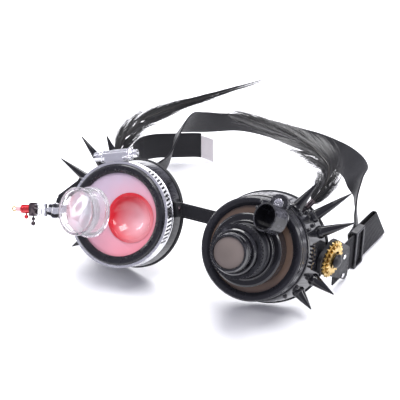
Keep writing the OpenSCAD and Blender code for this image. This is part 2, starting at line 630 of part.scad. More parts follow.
// The nose is thinner behind its rim, and the rim sinks into the mouth of the draw tube
nose_rim_len = 4.2;
nose_rim_at = 3.6;
nose_tail_r = nose_r - 0.5;
nose_travel = 3;
nose_socket = draw_front - nose_front + nose_rim_at + nose_rim_len + nose_travel + 0.8;
module nose_tube() color("#26262b") eye(1)
    turned([[nose_r - 1.6, -nose_tail], [nose_tail_r, -nose_tail],
        [nose_tail_r, -nose_front + nose_rim_at + nose_rim_len],
        [nose_r, -nose_front + nose_rim_at + nose_rim_len],
        [nose_r, -nose_front + nose_rim_at], [nose_r - 0.5, -nose_front + nose_rim_at - 0.4],
        [nose_r - 0.5, -nose_front + nose_rim_at - 1], [nose_r - 0.3, -nose_front + 2.2],
        [nose_r - 0.9, -nose_front], [nose_glass_r + 0.3, -nose_front],
        [nose_glass_r + touch, -nose_front + 0.6],
        [nose_glass_r + touch, -nose_front + 3.2], [nose_r - 3.4, -nose_front + 3.2],
        [nose_r - 3.4, -nose_front + 4.6], [nose_r - 1.6, -nose_front + 4.6]]);
module nose_lens() color("#8d837b", 0.6) eye(1) {
    bow = 0.9;
    ball = (nose_glass_r * nose_glass_r + bow * bow) / (2 * bow);
    y = -nose_front + 0.9;
    turned(concat([[0, y + 2.2], [nose_glass_r, y + 2.2]],
        [for (k = [8 : -1 : 0]) let (x = nose_glass_r * k / 8)
            [x, y - bow + ball - sqrt(ball * ball - x * x)]]), 96);
}

// The sight tube swings on a knob at the edge of the scope's lens ring
knob_reach = 2.7;
knob_angle = 65.77;
knob_at = (ring_r + knob_reach) * [cos(knob_angle), sin(knob_angle)];
arm_y = -0.4 - 2.6;
boss_r = 3.6;
sight_arm_thick = 2.2;
sight_bolt_r = 1.4;
sight_angle = 54.44;
sight_off = focus_r + sight_r + 1.75;
sight_at = [sight_off * cos(sight_angle), -12.6, sight_off * sin(sight_angle)];
sight_yaw = 24;
sight_pitch = -8;
module at_knob() eye(1) translate([knob_at[0], 0, knob_at[1]]) children();
module sight_axis() translate(sight_at) rotate([0, 0, -sight_yaw]) rotate([sight_pitch, 0, 0]) children();
module at_sight() eye(1) sight_axis() children();
module sight_bracket() color(black_plastic) difference() {
    union() {
        at_knob() bar_y(boss_r, arm_y + 0.2, 1);
        eye(1) around(atan2(knob_at[1], knob_at[0])) translate([ring_r - 0.6, arm_y + 0.5, -3])
            cube([4.4, 9.2 - arm_y, 6]);
    }
    at_knob() bar_y(sight_bolt_r + pin_gap, -6, -0.6, 32);
    eye(1) bar_y(ring_r + touch, -touch, 20, 128);
}
module sight_fork() color("#2a2a2f") difference() {
    union() {
        at_knob() bar_y(boss_r, arm_y - sight_arm_thick, arm_y);
        eye(1) hull() {
            translate([knob_at[0], arm_y - sight_arm_thick, knob_at[1]]) rotate([-90, 0, 0])
                cylinder(r = boss_r - 0.3, h = sight_arm_thick, $fn = 32);
            translate([sight_at[0] + 1.2, arm_y - sight_arm_thick, sight_at[2] + 0.6]) rotate([-90, 0, 0])
                cylinder(r = boss_r, h = sight_arm_thick, $fn = 32);
        }
        eye(1) hull() {
            translate([sight_at[0] + 1.2, arm_y - 1.4, sight_at[2] + 0.6]) rotate([-90, 0, 0])
                cylinder(r = 3, h = 1, $fn = 32);
            sight_axis() bar_y(3, touch, touch + 1, 32);
        }
    }
    at_knob() bar_y(sight_bolt_r + pin_gap, -20, 2, 32);
}
module sight_tube() color("#17171a") {
    at_sight() difference() {
        bar_y(sight_r, -sight_len, 0, 64);
        bar_y(sight_r - sight_wall, -sight_len - 1, -1.4, 64);
    }
    for (end = [0, 1]) at_sight() rotate([0, 200 + end * 26, 0])
        translate([sight_r - 0.6, -sight_len + 3.6 - end, 0]) {
        rotate([0, 90, 0]) cylinder(r = 0.75, h = 3.4, $fn = 24);
        translate([3.4, 0, 0]) sphere(r = 1, $fn = 24);
    }
}
knob_front = arm_y - sight_arm_thick - 0.2 - knob_thick;
module sight_knob() color("#2b2b30") difference() {
    union() {
        at_knob() bar_y(knob_r, knob_front, knob_front + knob_thick, 64);
        at_knob() for (a = [0 : 20 : 340]) around(a) translate([knob_r - 0.2, knob_front + 0.6, -0.3])
            cube([0.5, knob_thick - 1.2, 0.6]);
    }
    at_knob() bar_y(sight_bolt_r + pin_gap, -30, 2, 32);
    at_knob() bar_y(2.9, knob_front - 1, knob_front + 0.8, 48);
}
module sight_screw() color(chrome) difference() {
    union() {
        at_knob() bar_y(sight_bolt_r, knob_front, -0.7, 32);
        at_knob() bar_y(2.7, knob_front - 0.7, knob_front + 0.7, 48);
    }
    for (a = [0, 90]) at_knob() around(a + 20) translate([-1.6, knob_front - 1.2, -0.35])
        cube([3.2, 1.2, 0.7]);
}

// Side straps: x out from the cup, y back along the webbing, z up from the table
wing_x = eye_x + cup_r + 0.8;
wing_y = 24;
web_z = 1.9;
web_start = 22;
web_overlap = 14;
web_end = web_start + web_overlap + web_len;
rivet_y = 29;
rivet_inset = 5;
rivet_z = [web_z + rivet_inset, web_z + web_w - rivet_inset];
wing_in = web_thick + 0.05;
wing_out = wing_in + wing_thick;
gear_y = 11.5;
gear_z = 30;
layer_gap = slider_bar + 2 * fit_gap;
slider_y = 52;
module side_strap(side) on_table() mirror([side < 0 ? 1 : 0, 0, 0])
    translate([wing_x, wing_y, 0]) rotate([0, 0, -web_splay]) children();
module disc_x(r, x0, x1, y, z, sides = 48) translate([0, y, z]) bar_x(r, x0, x1, sides);
module wing(side) color(soft_black) side_strap(side) difference() {
    hull() {
        disc_x(5, wing_in, wing_out, 4, gear_z + 3, 32);
        disc_x(4, wing_in, wing_out, 3, gear_z - 2, 32);
        disc_x(8, wing_in, wing_out, gear_y + 2.5, gear_z + 3, 32);
        disc_x(8, wing_in, wing_out, gear_y + 4.5, gear_z - 6, 32);
        for (z = [3, web_w - 3]) disc_x(3, wing_in, wing_out, rivet_y + 4, web_z + z, 32);
    }
    disc_x(axle_r + pin_gap, -5, 20, gear_y, gear_z, 40);
    for (z = rivet_z) disc_x(0.8, -5, 20, rivet_y, z, 24);
}
module scope_wing() wing(1);
module red_wing() wing(-1);
module wing_rivets() color(steel) for (side = [-1, 1]) for (z = rivet_z) side_strap(side) {
    disc_x(0.75, -0.4, wing_out + 0.4, rivet_y, z, 24);
    disc_x(1.6, wing_out + 0.05, wing_out + 0.7, rivet_y, z, 28);
    disc_x(1.6, -0.7, -0.05, rivet_y, z, 28);
}

// Brass gears that spin on an axle through the scope side's wing
gear_in = wing_out + rest_gap;
tooth_h = 1.8;
gear_rim = 2.2;
gear_hub = 1.7;
gear_spoke = 1.7;
// Corners of one tooth: share of the pitch, and whether it is at the tip
tooth_shape = [[-0.4, 0], [-0.08, 1], [0.08, 1], [0.4, 0]];
function gear_outline(r, teeth) = [for (k = [0 : teeth - 1]) for (c = tooth_shape)
    let (a = (k + c[0]) * 360 / teeth, q = r - tooth_h * (1 - c[1])) [q * cos(a), q * sin(a)]];
module gear(r, teeth, x0) difference() {
    union() {
        difference() {
            translate([x0, gear_y, gear_z]) rotate([0, 90, 0]) linear_extrude(gear_thick)
                polygon(gear_outline(r, teeth));
            disc_x(r - tooth_h - gear_rim, x0 - 1, x0 + gear_thick + 1, gear_y, gear_z, 64);
        }
        disc_x(axle_r + gear_hub, x0, x0 + gear_thick, gear_y, gear_z, 40);
        for (k = [0 : 4]) translate([x0, gear_y, gear_z]) rotate([k * 72, 0, 0])
            translate([0, -gear_spoke / 2, 0]) cube([gear_thick, gear_spoke, r - tooth_h - gear_rim / 2]);
    }
    disc_x(axle_r + pin_gap, x0 - 1, x0 + gear_thick + 1, gear_y, gear_z, 40);
}
small_gear_x = gear_in + gear_thick + rest_gap;
cap_x = small_gear_x + gear_thick + rest_gap;
module gear_large() color(brass) side_strap(1) gear(gear_r, gear_teeth, gear_in);
module gear_small() color(brass) side_strap(1) gear(gear_r * 0.82, gear_teeth - 4, small_gear_x);
module gear_axle() color("#1d1d22") side_strap(1) {
    disc_x(axle_r, wing_in + 0.05, cap_x + 0.5, gear_y, gear_z, 40);
    disc_x(axle_r + 1.4, cap_x, cap_x + 0.8, gear_y, gear_z, 48);
    translate([cap_x + 0.8, gear_y, gear_z]) rotate([0, 90, 0]) rotate_extrude($fn = 48)
        polygon([[0, 0], [axle_r + 2.4, 0], [axle_r + 2.2, 1], [axle_r + 1.2, 2], [axle_r * 0.5, 2.6],
            [0, 2.7]]);
}

// Webbing folded back on itself, with a slider round its outer layer
fold_slant = 33;
inner_layer_len = 32;
module at_fold() translate([-layer_gap / 2, web_end, web_z + web_w / 2]) rotate([fold_slant, 0, 0])
    children();
module webbing(side) color(soft_black) side_strap(side) {
    difference() {
        union() {
            translate([0, web_start, web_z]) cube([web_thick, web_end - web_start + web_w, web_w]);
            translate([-layer_gap - web_thick, web_end - inner_layer_len, web_z])
                cube([web_thick, inner_layer_len + web_w, web_w]);
        }
        at_fold() translate([-web_w, 0, -2 * web_w]) cube([2 * web_w, 3 * web_w, 4 * web_w]);
        for (z = rivet_z) disc_x(0.8, -1, 2, rivet_y, z, 24);
    }
    intersection() {
        at_fold() difference() {
            translate([0, 0, -web_w]) cylinder(r = layer_gap / 2 + web_thick, h = 2 * web_w, $fn = 48);
            translate([0, 0, -2 * web_w]) cylinder(r = layer_gap / 2, h = 4 * web_w, $fn = 48);
            translate([-web_w, -2 * web_w - touch, -2 * web_w]) cube([2 * web_w, 2 * web_w, 4 * web_w]);
        }
        translate([-web_w, web_start, web_z]) cube([2 * web_w, 3 * web_len, web_w]);
    }
}
module scope_webbing() webbing(1);
module red_webbing() webbing(-1);
rail_gap = fit_gap;
module slider(side) color("#2c2c30") side_strap(side) translate([0, slider_y - slider_len / 2, 0]) {
    inner = -layer_gap + fit_gap;
    outer = web_thick + fit_gap;
    for (z = [web_z - rail_gap - slider_bar, web_z + web_w + rail_gap])
        translate([inner, 0, z]) cube([outer + slider_bar - inner, slider_len, slider_bar]);
    for (y = [0, slider_len - 2.2]) translate([outer, y, web_z - rail_gap - 0.1])
        cube([slider_bar, 2.2, web_w + 2 * rail_gap + 0.2]);
    translate([inner, slider_len / 2 - 1.2, web_z - rail_gap - 0.1])
        cube([slider_bar, 2.4, web_w + 2 * rail_gap + 0.2]);
}
module scope_slider() slider(1);
module red_slider() slider(-1);

// A point and a width direction beside a side strap, in the frame of the table
function side_point(side, x, y, z) = [side * (wing_x + x * cos(web_splay) + y * sin(web_splay)),
    wing_y - x * sin(web_splay) + y * cos(web_splay), z];
function side_lean(side, y, z) = [side * y * sin(web_splay), y * cos(web_splay), z];

// Route of the elastic strap, hand-placed, with the lean of its width at each point
strap_x = -layer_gap - web_thick - rest_gap - strap_thick / 2;
strap_route = [side_point(1, strap_x, slider_y - 2, 14), side_point(1, strap_x - 1, slider_y + 9, 16.5),
    [79, 92, 23], [76, 100, 31], [74, 108.5, 36], [70.5, 118, 37.5], [65, 129, 36], [57, 139, 34],
    [46, 151, 30],
    [30, 163, 26.5], [8, 174, 22.5], [-15, 180, 21.5], [-38, 180, 21], [-54, 172, 21.5], [-62.5, 158, 27],
    [-63.5, 144, 33.5], [-62.5, 132, 34.5], [-61, 119.5, 29.5], [-62, 107.5, 21], [-70, 94, 14.5],
    side_point(-1, strap_x - 1.4, slider_y + 9, 14), side_point(-1, strap_x, slider_y - 2, 14)];
strap_lean = [side_lean(1, -0.2, 1), side_lean(1, -0.4, 0.9), [0, -0.5, 0.85], [0.2, -0.56, 0.8],
    [0.35, -0.3, 0.89], [0.63, 0.2, 0.75], [0.57, 0.4, 0.7], [0.4, 0.4, 0.82], [0.3, 0.15, 0.94], [0.1, 0, 1],
    [0, -0.2, 1], [0, -0.35, 0.94], [0, -0.4, 0.92], [0.1, -0.3, 0.94], [0.35, -0.1, 0.93], [0.5, 0.1, 0.85],
    [0.5, -0.05, 0.86], [0.4, -0.3, 0.86], [0.3, -0.4, 0.86], [0.1, -0.1, 1], [0, 0, 1], [0, 0, 1]];
module head_strap() color(soft_black) on_table() band_along(strap_route, strap_lean, strap_w, strap_thick);

// The loose end of the elastic, with a blank tag sewn to it
tail_z = 13;
tail_start = web_end + (web_z + web_w / 2 - tail_z + tail_w / 2) * tan(fold_slant)
    + (layer_gap / 2 + web_thick) / cos(fold_slant) + rest_gap;
tail_route = [side_point(-1, -layer_gap / 2, tail_start, tail_z),
    side_point(-1, -layer_gap / 2, tail_start + 5, tail_z),
    [-91.5, 129.5, tail_z], [-84.5, 137, tail_z], [-73, 143, tail_z], [-60, 149.5, tail_z],
    [-55, 151, tail_z]];
tail_lean = [for (p = tail_route) [0, 0, 1]];
module strap_tail() color(soft_black) on_table() band_along(tail_route, tail_lean, tail_w, strap_thick);
tag_dir = unit([11, -1.6, 0]);
module tail_tag() color("#e9e9ec") on_table() {
    p = tail_route[len(tail_route) - 1];
    band_along([p + [0.4, -1.3, 0], p + tag_dir * tag_len / 2 + [0, -1.2, 0],
            p + tag_dir * tag_len + [0, -1.6, 0]],
        [[0, 0, 1], [0, 0, 1], [0, 0, 1]], tail_w - 1, 0.8);
}

// Feathers: a shaft with a vane that swells and tapers, held in small ferrules
ferrule_angle = 57;
ferrule_depth = 34;
ferrule_r = 1.8;
ferrule_wall = 0.55;
ferrule_len = 6;
vane_rise = 0.9;
quill_share = 0.11;
quill_w = 0.06;
function vane_swell(t, taper) = pow(t, vane_rise) * pow(max(0, 1 - t), taper);
function vane_width(t, taper) =
    let (u = max(0, (t - quill_share) / (1 - quill_share)))
    quill_w + (1 - quill_w) * vane_swell(u, taper) / vane_swell(vane_rise / (vane_rise + taper), taper);
module feather(route, face, half_w, thick, taper, steps = 3) {
    p = smooth_curve(route, steps);
    n = len(p) - 1;
    skin([for (i = [0 : n])
        let (t = tangent(p, i), f = square_to(face, t), a = cross(t, f),
            w = half_w * vane_width(i / n, taper),
            h = thick * 0.45 * (1 - 0.7 * i / n))
        [p[i] + a * w, p[i] + a * w * 0.3 + f * h, p[i] - a * w * 0.3 + f * h, p[i] - a * w,
            p[i] - a * w * 0.3 - f * h, p[i] + a * w * 0.3 - f * h]]);
}
view_face = [0.34, -0.76, 0.55];
function quill_point(side, height) =
    let (r = shell_r(ferrule_depth) + height, x = r * cos(ferrule_angle), z = r * sin(ferrule_angle))
    [side * (eye_x + x), ferrule_depth * cos(eye_tilt) + z * sin(eye_tilt),
        rest_height - ferrule_depth * sin(eye_tilt) + z * cos(eye_tilt)];
scope_feather_route = [quill_point(1, 2.6), quill_point(1, 7), [69.5, 53, 70.5], [67, 62, 75.5],
    [55, 74, 76], [39, 87, 73],
    [20, 98, 70], [-2, 110, 66], [-22, 120, 62.5]];
red_feather_route = [quill_point(-1, 2.6), quill_point(-1, 7), [-64, 56, 69.5], [-60, 68, 74],
    [-53, 80, 75.5], [-45, 95, 75.5],
    [-33, 112, 76], [-17.6, 130, 78], [-5.6, 143, 79.7]];
module scope_feather() color(black_plastic) on_table()
    feather(scope_feather_route, view_face, feather_half_w, feather_thick, 0.75);
module red_feather() color(black_plastic) on_table()
    feather(red_feather_route, view_face, feather_half_w * 0.85, feather_thick, 2.2);

// Each quill stands in a small ferrule on the rim of its cup
module at_ferrule(side) eye(side) temple_angle(side, ferrule_angle)
    translate([shell_r(ferrule_depth), ferrule_depth, 0]) rotate([0, 90, 0]) children();
module feather_ferrules() color("#2a2a2e") for (side = [-1, 1]) outside_shell(side) difference() {
    at_ferrule(side) cylinder(r = ferrule_r, h = ferrule_len, $fn = 32);
    at_ferrule(side) translate([0, 0, 2]) cylinder(r = ferrule_r - ferrule_wall, h = ferrule_len, $fn = 32);
}

red_cup();
red_face_pad();
red_lens_ring();
red_lens();
red_lens_dish();
clamp_band();
clamp_housing();
clamp_screw();
loupe_bracket();
loupe_hinge_pin();
loupe_arm();
loupe_ring();
loupe_glass();
arm_rods();
arm_pivot_pin();
arm_block();
arm_red_nut();
arm_sleeve();
arm_eyelet();
arm_thumb_screw();
arm_beads();
red_spikes();
red_studs();
bridge();
bridge_rivets();
scope_cup();
scope_face_pad();
scope_lens_ring();
bronze_lens();
scope_base();
focus_ring();
draw_tube();
nose_tube();
nose_lens();
sight_bracket();
sight_tube();
sight_fork();
sight_knob();
sight_screw();
scope_spikes();
scope_studs();
scope_wing();
red_wing();
wing_rivets();
gear_large();
gear_small();
gear_axle();
scope_webbing();
red_webbing();
scope_slider();
red_slider();
head_strap();
strap_tail();
tail_tag();
scope_feather();
red_feather();
feather_ferrules();
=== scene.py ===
"""Steampunk goggles: finishes, pads, straps, feathers and stage around the fixed frame of solid pieces."""

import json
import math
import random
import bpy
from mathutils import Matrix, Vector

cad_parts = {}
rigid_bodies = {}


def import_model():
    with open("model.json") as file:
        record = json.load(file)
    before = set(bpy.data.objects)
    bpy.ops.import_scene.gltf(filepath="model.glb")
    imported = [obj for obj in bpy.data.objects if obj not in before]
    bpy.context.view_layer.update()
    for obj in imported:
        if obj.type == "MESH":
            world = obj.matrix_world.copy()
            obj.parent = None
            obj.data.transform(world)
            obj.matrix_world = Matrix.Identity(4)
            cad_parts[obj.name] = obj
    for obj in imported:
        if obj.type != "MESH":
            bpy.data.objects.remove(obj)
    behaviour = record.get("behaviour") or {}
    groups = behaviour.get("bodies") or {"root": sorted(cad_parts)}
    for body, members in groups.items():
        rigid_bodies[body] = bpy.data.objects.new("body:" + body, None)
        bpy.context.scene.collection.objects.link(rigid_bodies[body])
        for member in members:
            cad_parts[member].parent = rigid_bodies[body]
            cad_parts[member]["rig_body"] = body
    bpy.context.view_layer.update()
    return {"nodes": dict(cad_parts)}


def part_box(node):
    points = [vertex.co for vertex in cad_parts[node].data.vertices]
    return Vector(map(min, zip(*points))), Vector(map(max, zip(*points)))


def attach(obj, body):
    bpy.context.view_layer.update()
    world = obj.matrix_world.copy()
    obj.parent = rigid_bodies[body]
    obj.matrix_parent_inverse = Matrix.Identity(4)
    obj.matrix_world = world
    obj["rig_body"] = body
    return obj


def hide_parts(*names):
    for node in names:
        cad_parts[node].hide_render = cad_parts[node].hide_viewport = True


bl_info = {
    "name": "Steampunk Goggles",
    "version": (1, 0, 0),
    "blender": (4, 5, 0),
    "location": "View3D > Sidebar > Goggles",
    "description": "Finishes the goggles: glass, plastic and metal, soft pads, straps and feathers",
    "category": "Object",
}

import bmesh
import bpy
from bpy.props import FloatProperty, FloatVectorProperty, IntProperty, PointerProperty
from mathutils import Matrix, Vector

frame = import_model()

MM = 0.001
RED = -1
SCOPE = 1

# Where the eyes stand, in millimetres and degrees, as the frame has them
EYE_X = 43
EYE_TILT = 30
REST_HEIGHT = 48.363
TABLE_X = 9.73
TABLE_Y = -73.63

# The cup behind its lens ring
CUP_R = 31.2
CUP_FLARE = 0.12
CUP_WALL = 3
SHELL_FRONT = 13.3
SHELL_END = 31.5
FACE_SLANT = 14.4
PAD_THICK = 4.5
PAD_PROUD = 0.6

# The side straps
WING_X = EYE_X + CUP_R + 0.8
WING_Y = 24
WEB_Z = 1.9
WEB_W = 24
WEB_THICK = 1.2
WEB_START = 22
WEB_END = 83.5
WEB_SPLAY = 11
LAYER_GAP = 1.9
INNER_LAYER_LEN = 32
FOLD_SLANT = 33
SLIDER_Y = 52

# The head strap and its loose end
STRAP_W = 19
STRAP_THICK = 1.4
STRAP_X = -LAYER_GAP - WEB_THICK - 0.3 - STRAP_THICK / 2
TAIL_W = 20
TAIL_Z = 13
TAG_LEN = 11

# How much thinner and narrower a woven band is than the solid that it replaces, and its rows of faces
BAND_THINNER = 0.3
BAND_NARROWER = 0.2
BAND_ROWS = 8

# The sockets of the feathers
SOCKET_ANGLE = 57
SOCKET_DEPTH = 34

# The point of the dish's painted highlight, where it is palest, in the frame of the red-lensed eye
DISH_PAINTED_HIGHLIGHT = Vector((13.0, 6.5, -2.6))

# The direction across which the loupe's glass goes from a painted pink glow of the red lens to a painted pale
# reflection, and how far left of its middle that change lies
LOUPE_PAINTED_LIGHT_ACROSS = Vector((0.91, 0.41, 0.0))
LOUPE_PAINTED_LIGHT_SPLIT = 3.7

# Edges that turn by more than this many degrees stay sharp, or are rounded
SHARP_ANGLE = 32


class GogglesSizes(bpy.types.PropertyGroup):
    """Details that the finish adds: lengths in millimetres, the scale of the rounding, a count of strands."""

    rib_pitch: FloatProperty(name="Webbing Rib Pitch", description="Distance between two ribs of the webbing",
                             default=1.5, min=0.8, max=3, unit="NONE")
    rib_height: FloatProperty(name="Webbing Rib Height", description="Height of a rib of the webbing",
                              default=0.16, min=0, max=0.4, unit="NONE")
    stitch_pitch: FloatProperty(name="Stitch Pitch", description="Distance between two stitches of a seam",
                                default=2.4, min=1, max=5, unit="NONE")
    stitch_r: FloatProperty(name="Thread Radius", description="Radius of the sewing thread",
                            default=0.22, min=0.1, max=0.5, unit="NONE")
    edge_round: FloatProperty(name="Edge Rounding", description="Scale of the rounding of all edges",
                              default=1, min=0, max=1.5, subtype="FACTOR")
    strands: IntProperty(name="Feather Strands", description="Number of strands in one feather",
                         default=1500, min=200, max=3000)
    strand_r: FloatProperty(name="Strand Radius", description="Radius of a feather strand at its root",
                            default=0.17, min=0.05, max=0.4, unit="NONE")


class GogglesColours(bpy.types.PropertyGroup):
    """Colours that a user would change."""

    gloss_black: FloatVectorProperty(name="Gloss Black", description="Colour of the cups and rings",
                                     subtype="COLOR", size=3, default=(0.006, 0.006, 0.008))
    red_lens: FloatVectorProperty(name="Red Lens", description="Colour of the flat red lens",
                                  subtype="COLOR", size=3, default=(0.90, 0.30, 0.36))
    # Also the painted shade of the dish away from its painted highlight
    red_dish: FloatVectorProperty(name="Red Dish", description="Colour of the dish in the red lens",
                                  subtype="COLOR", size=3, default=(0.60, 0.022, 0.035))
    bronze_lens: FloatVectorProperty(name="Bronze Lens", description="Colour of the lens round the scope",
                                     subtype="COLOR", size=3, default=(0.13, 0.085, 0.062))
    brass: FloatVectorProperty(name="Brass", description="Colour of the gears",
                               subtype="COLOR", size=3, default=(0.50, 0.33, 0.10))
    nut_red: FloatVectorProperty(name="Nut Red", description="Colour of the nut on the loupe's arm",
                                 subtype="COLOR", size=3, default=(0.55, 0.02, 0.03))
    webbing: FloatVectorProperty(name="Webbing", description="Colour of the webbing and the elastic",
                                 subtype="COLOR", size=3, default=(0.008, 0.008, 0.010))


def eye_frame(side):
    """The frame of one eye: its axis along Y, the front of the lens ring at Y 0."""
    return (Matrix.Scale(MM, 4) @ Matrix.Translation((TABLE_X, TABLE_Y, REST_HEIGHT))
            @ Matrix.Rotation(math.radians(-EYE_TILT), 4, "X") @ Matrix.Translation((side * EYE_X, 0, 0)))


def strap_frame(side):
    """The frame of one side strap: X out from the cup, Y back along the webbing, Z up."""
    flip = Matrix.Diagonal((side, 1, 1, 1))
    return (Matrix.Scale(MM, 4) @ Matrix.Translation((TABLE_X, TABLE_Y, 0)) @ flip
            @ Matrix.Translation((WING_X, WING_Y, 0)) @ Matrix.Rotation(math.radians(-WEB_SPLAY), 4, "Z"))


TABLE_FRAME = Matrix.Scale(MM, 4) @ Matrix.Translation((TABLE_X, TABLE_Y, 0))


def cup_radius(depth):
    """Radius of a cup's outside at a depth."""
    return CUP_R + CUP_FLARE * (depth - SHELL_FRONT)


def side_point(side, x, y, z):
    """A point beside a side strap, in the frame of the table."""
    splay = math.radians(WEB_SPLAY)
    return Vector((side * (WING_X + x * math.cos(splay) + y * math.sin(splay)),
                   WING_Y - x * math.sin(splay) + y * math.cos(splay), z))


def side_lean(side, y, z):
    """A width direction in the plane of a side strap."""
    splay = math.radians(WEB_SPLAY)
    return Vector((side * y * math.sin(splay), y * math.cos(splay), z))


def quill_point(side, height):
    """A point above the socket of a feather, in the frame of the table."""
    angle = math.radians(SOCKET_ANGLE)
    tilt = math.radians(EYE_TILT)
    r = cup_radius(SOCKET_DEPTH) + height
    z = r * math.sin(angle)
    return Vector((side * (EYE_X + r * math.cos(angle)),
                   SOCKET_DEPTH * math.cos(tilt) + z * math.sin(tilt),
                   REST_HEIGHT - SOCKET_DEPTH * math.sin(tilt) + z * math.cos(tilt)))


def smooth_route(points, steps):
    """Points along a smooth curve through the chosen points."""
    points = [Vector(p) for p in points]
    last = len(points) - 1
    route = []
    for i in range(last):
        a, b, c, d = points[max(i - 1, 0)], points[i], points[i + 1], points[min(i + 2, last)]
        for k in range(steps):
            t = k / steps
            route.append(0.5 * (2 * b + (c - a) * t + (2 * a - 5 * b + 4 * c - d) * t * t
                                + (3 * b - a - 3 * c + d) * t ** 3))
    route.append(points[last])
    return route


def tangent_at(route, i):
    """The direction of a route at one of its points."""
    return (route[min(i + 1, len(route) - 1)] - route[max(i - 1, 0)]).normalized()


def square_to(direction, tangent):
    """The part of a direction that is square to a tangent."""
    return (direction - direction.dot(tangent) * tangent).normalized()


# Materials


class Graph:
    """A material's nodes, with short calls that add and join them."""

    def __init__(self, name):
        self.material = bpy.data.materials.new(name)
        self.material.use_nodes = True
        self.tree = self.material.node_tree
        self.shader = self.tree.nodes["Principled BSDF"]
        self.place = self.add("ShaderNodeTexCoord").outputs["Object"]

    def feed(self, socket, value):
        """Joins another node's output to a socket, or sets the socket's value."""
        if isinstance(value, bpy.types.NodeSocket):
            self.tree.links.new(value, socket)
        else:
            socket.default_value = value

    def add(self, kind, inputs=None, **settings):
        """Adds a node with its settings and with what its sockets are fed."""
        node = self.tree.nodes.new(kind)
        for key, value in settings.items():
            setattr(node, key, value)
        for key, value in (inputs or {}).items():
            self.feed(node.inputs[key], value)
        return node

    def noise(self, scale, detail, stretch=None):
        """A cloudy pattern over the piece, stretched along some axes where asked."""
        source = self.place
        if stretch is not None:
            source = self.add("ShaderNodeMapping", {"Vector": source, "Scale": stretch}).outputs["Vector"]
        node = self.add("ShaderNodeTexNoise", {"Vector": source, "Scale": scale, "Detail": detail})
        return node.outputs["Fac"]

    def spread(self, value, from_low, from_high, low, high):
        """Maps one range of values to another and holds it there."""
        node = self.add("ShaderNodeMapRange", {"Value": value, "From Min": from_low, "From Max": from_high,
                                               "To Min": low, "To Max": high})
        return node.outputs["Result"]

    def mixed(self, share, first, second):
        """Mixes two colours by a share."""
        first = (*first, 1) if isinstance(first, tuple) else first
        second = (*second, 1) if isinstance(second, tuple) else second
        return self.add("ShaderNodeMix", {0: share, 6: first, 7: second}, data_type="RGBA").outputs[2]

    def math(self, operation, first, second=0.0):
        """The result of a sum or other operation on two values."""
        return self.add("ShaderNodeMath", {0: first, 1: second}, operation=operation).outputs[0]

    def measure(self, operation, other):
        """How far along a direction a point lies, or how far from another point."""
        node = self.add("ShaderNodeVectorMath", {0: self.place, 1: other}, operation=operation)
        return node.outputs["Value"]

    def waver(self, value, scale, amount):
        """Lets a value waver up and down over the piece."""
        return self.math("ADD", value, self.spread(self.noise(scale, 2.0), 0.3, 0.7, -amount, amount))

    def patchy(self, colour, scale, detail, tone):
        """A colour that is darker and paler in patches."""
        return self.mixed(self.noise(scale, detail), shade(colour, 1 - tone), shade(colour, 1 + tone))

    def paint(self, colour):
        """Gives the surface its colour."""
        self.feed(self.shader.inputs["Base Color"], colour)

    def gloss(self, pattern, least, low, high):
        """Varies the roughness between two values along a pattern."""
        self.feed(self.shader.inputs["Roughness"], self.spread(pattern, least, 0.7, low, high))

    def bump(self, height, strength, distance):
        """Roughens the surface by a height pattern, up to a distance in metres."""
        node = self.add("ShaderNodeBump", {"Height": height, "Strength": strength, "Distance": distance})
        self.tree.links.new(node.outputs["Normal"], self.shader.inputs["Normal"])

    def uniform(self, **values):
        """Sets sockets that are the same all over, by their names in lower case."""
        for key, value in values.items():
            self.shader.inputs[key.replace("_", " ").title().replace("Ior", "IOR")].default_value = value


def shade(colour, factor):
    """A colour made darker or paler."""
    return tuple(min(1.0, c * factor) for c in colour)


# How many patches of tone and gloss a hard finish has in a metre
PATCHES = 60.0


def hard_finish(name, colour, low, high, metallic=0.0, coat=0.0, tone=0.25, grain=1200.0, grain_depth=0.04,
                worn=None, brush=None):
    """A moulded, painted or metal finish with uneven tone and gloss, fine grain and worn edges."""
    colour = tuple(colour)
    graph = Graph(name)
    base = graph.patchy(colour, PATCHES, 4.0, tone)
    if worn is not None:
        edge = graph.add("ShaderNodeNewGeometry").outputs["Pointiness"]
        ragged = graph.math("MULTIPLY", graph.spread(edge, 0.52, 0.6, 0.0, 1.0),
                            graph.spread(graph.noise(PATCHES * 8, 4.0), 0.4, 0.62, 0.0, 1.0))
        base = graph.mixed(ragged, base, worn)
    graph.paint(base)
    graph.gloss(graph.noise(PATCHES * 2.3, 5.0, brush), 0.3, low, high)
    dark_plastic = metallic == 0 and max(colour) <= 0.1
    graph.uniform(metallic=metallic, coat_weight=coat, coat_roughness=0.06,
                  specular_ior_level=0.3 if dark_plastic else 0.5)
    graph.bump(graph.noise(grain, 2.0, brush), grain_depth, 0.0001)
    return graph.material


def cut_glass_painted_light_finish(name, left, right, split):
    """The loupe's cut lens: large facets, and a change of colour from left to right of a line, from a painted
    pink glow of the red lens to a painted pale reflection.
    """
    graph = Graph(name)
    level = graph.measure("DOT_PRODUCT", LOUPE_PAINTED_LIGHT_ACROSS)
    # Painted light: the pink at the left stands for the red lens glowing through, and the pale grey at the
    # right for a reflection
    share = graph.spread(level, split - 0.007, split + 0.006, 0.0, 1.0)
    graph.paint(graph.mixed(graph.waver(share, 170.0, 0.3), left, right))
    graph.gloss(graph.noise(150.0, 5.0), 0.35, 0.02, 0.06)
    graph.uniform(transmission_weight=0.55, ior=1.49, coat_weight=0.5, coat_roughness=0.03)
    facets = graph.add("ShaderNodeTexVoronoi", {"Vector": graph.place, "Scale": 70.0})
    graph.bump(facets.outputs["Distance"], 0.45, 0.012)
    return graph.material


def glass_finish(name, colour, rough, transmission, ior=1.45, tone=0.08):
    """A clear or tinted lens with faint smears in its gloss."""
    graph = Graph(name)
    graph.paint(graph.patchy(tuple(colour), 40.0, 2.0, tone))
    graph.gloss(graph.noise(150.0, 5.0), 0.35, rough, rough + 0.05)
    graph.uniform(transmission_weight=transmission, ior=ior)
    return graph.material


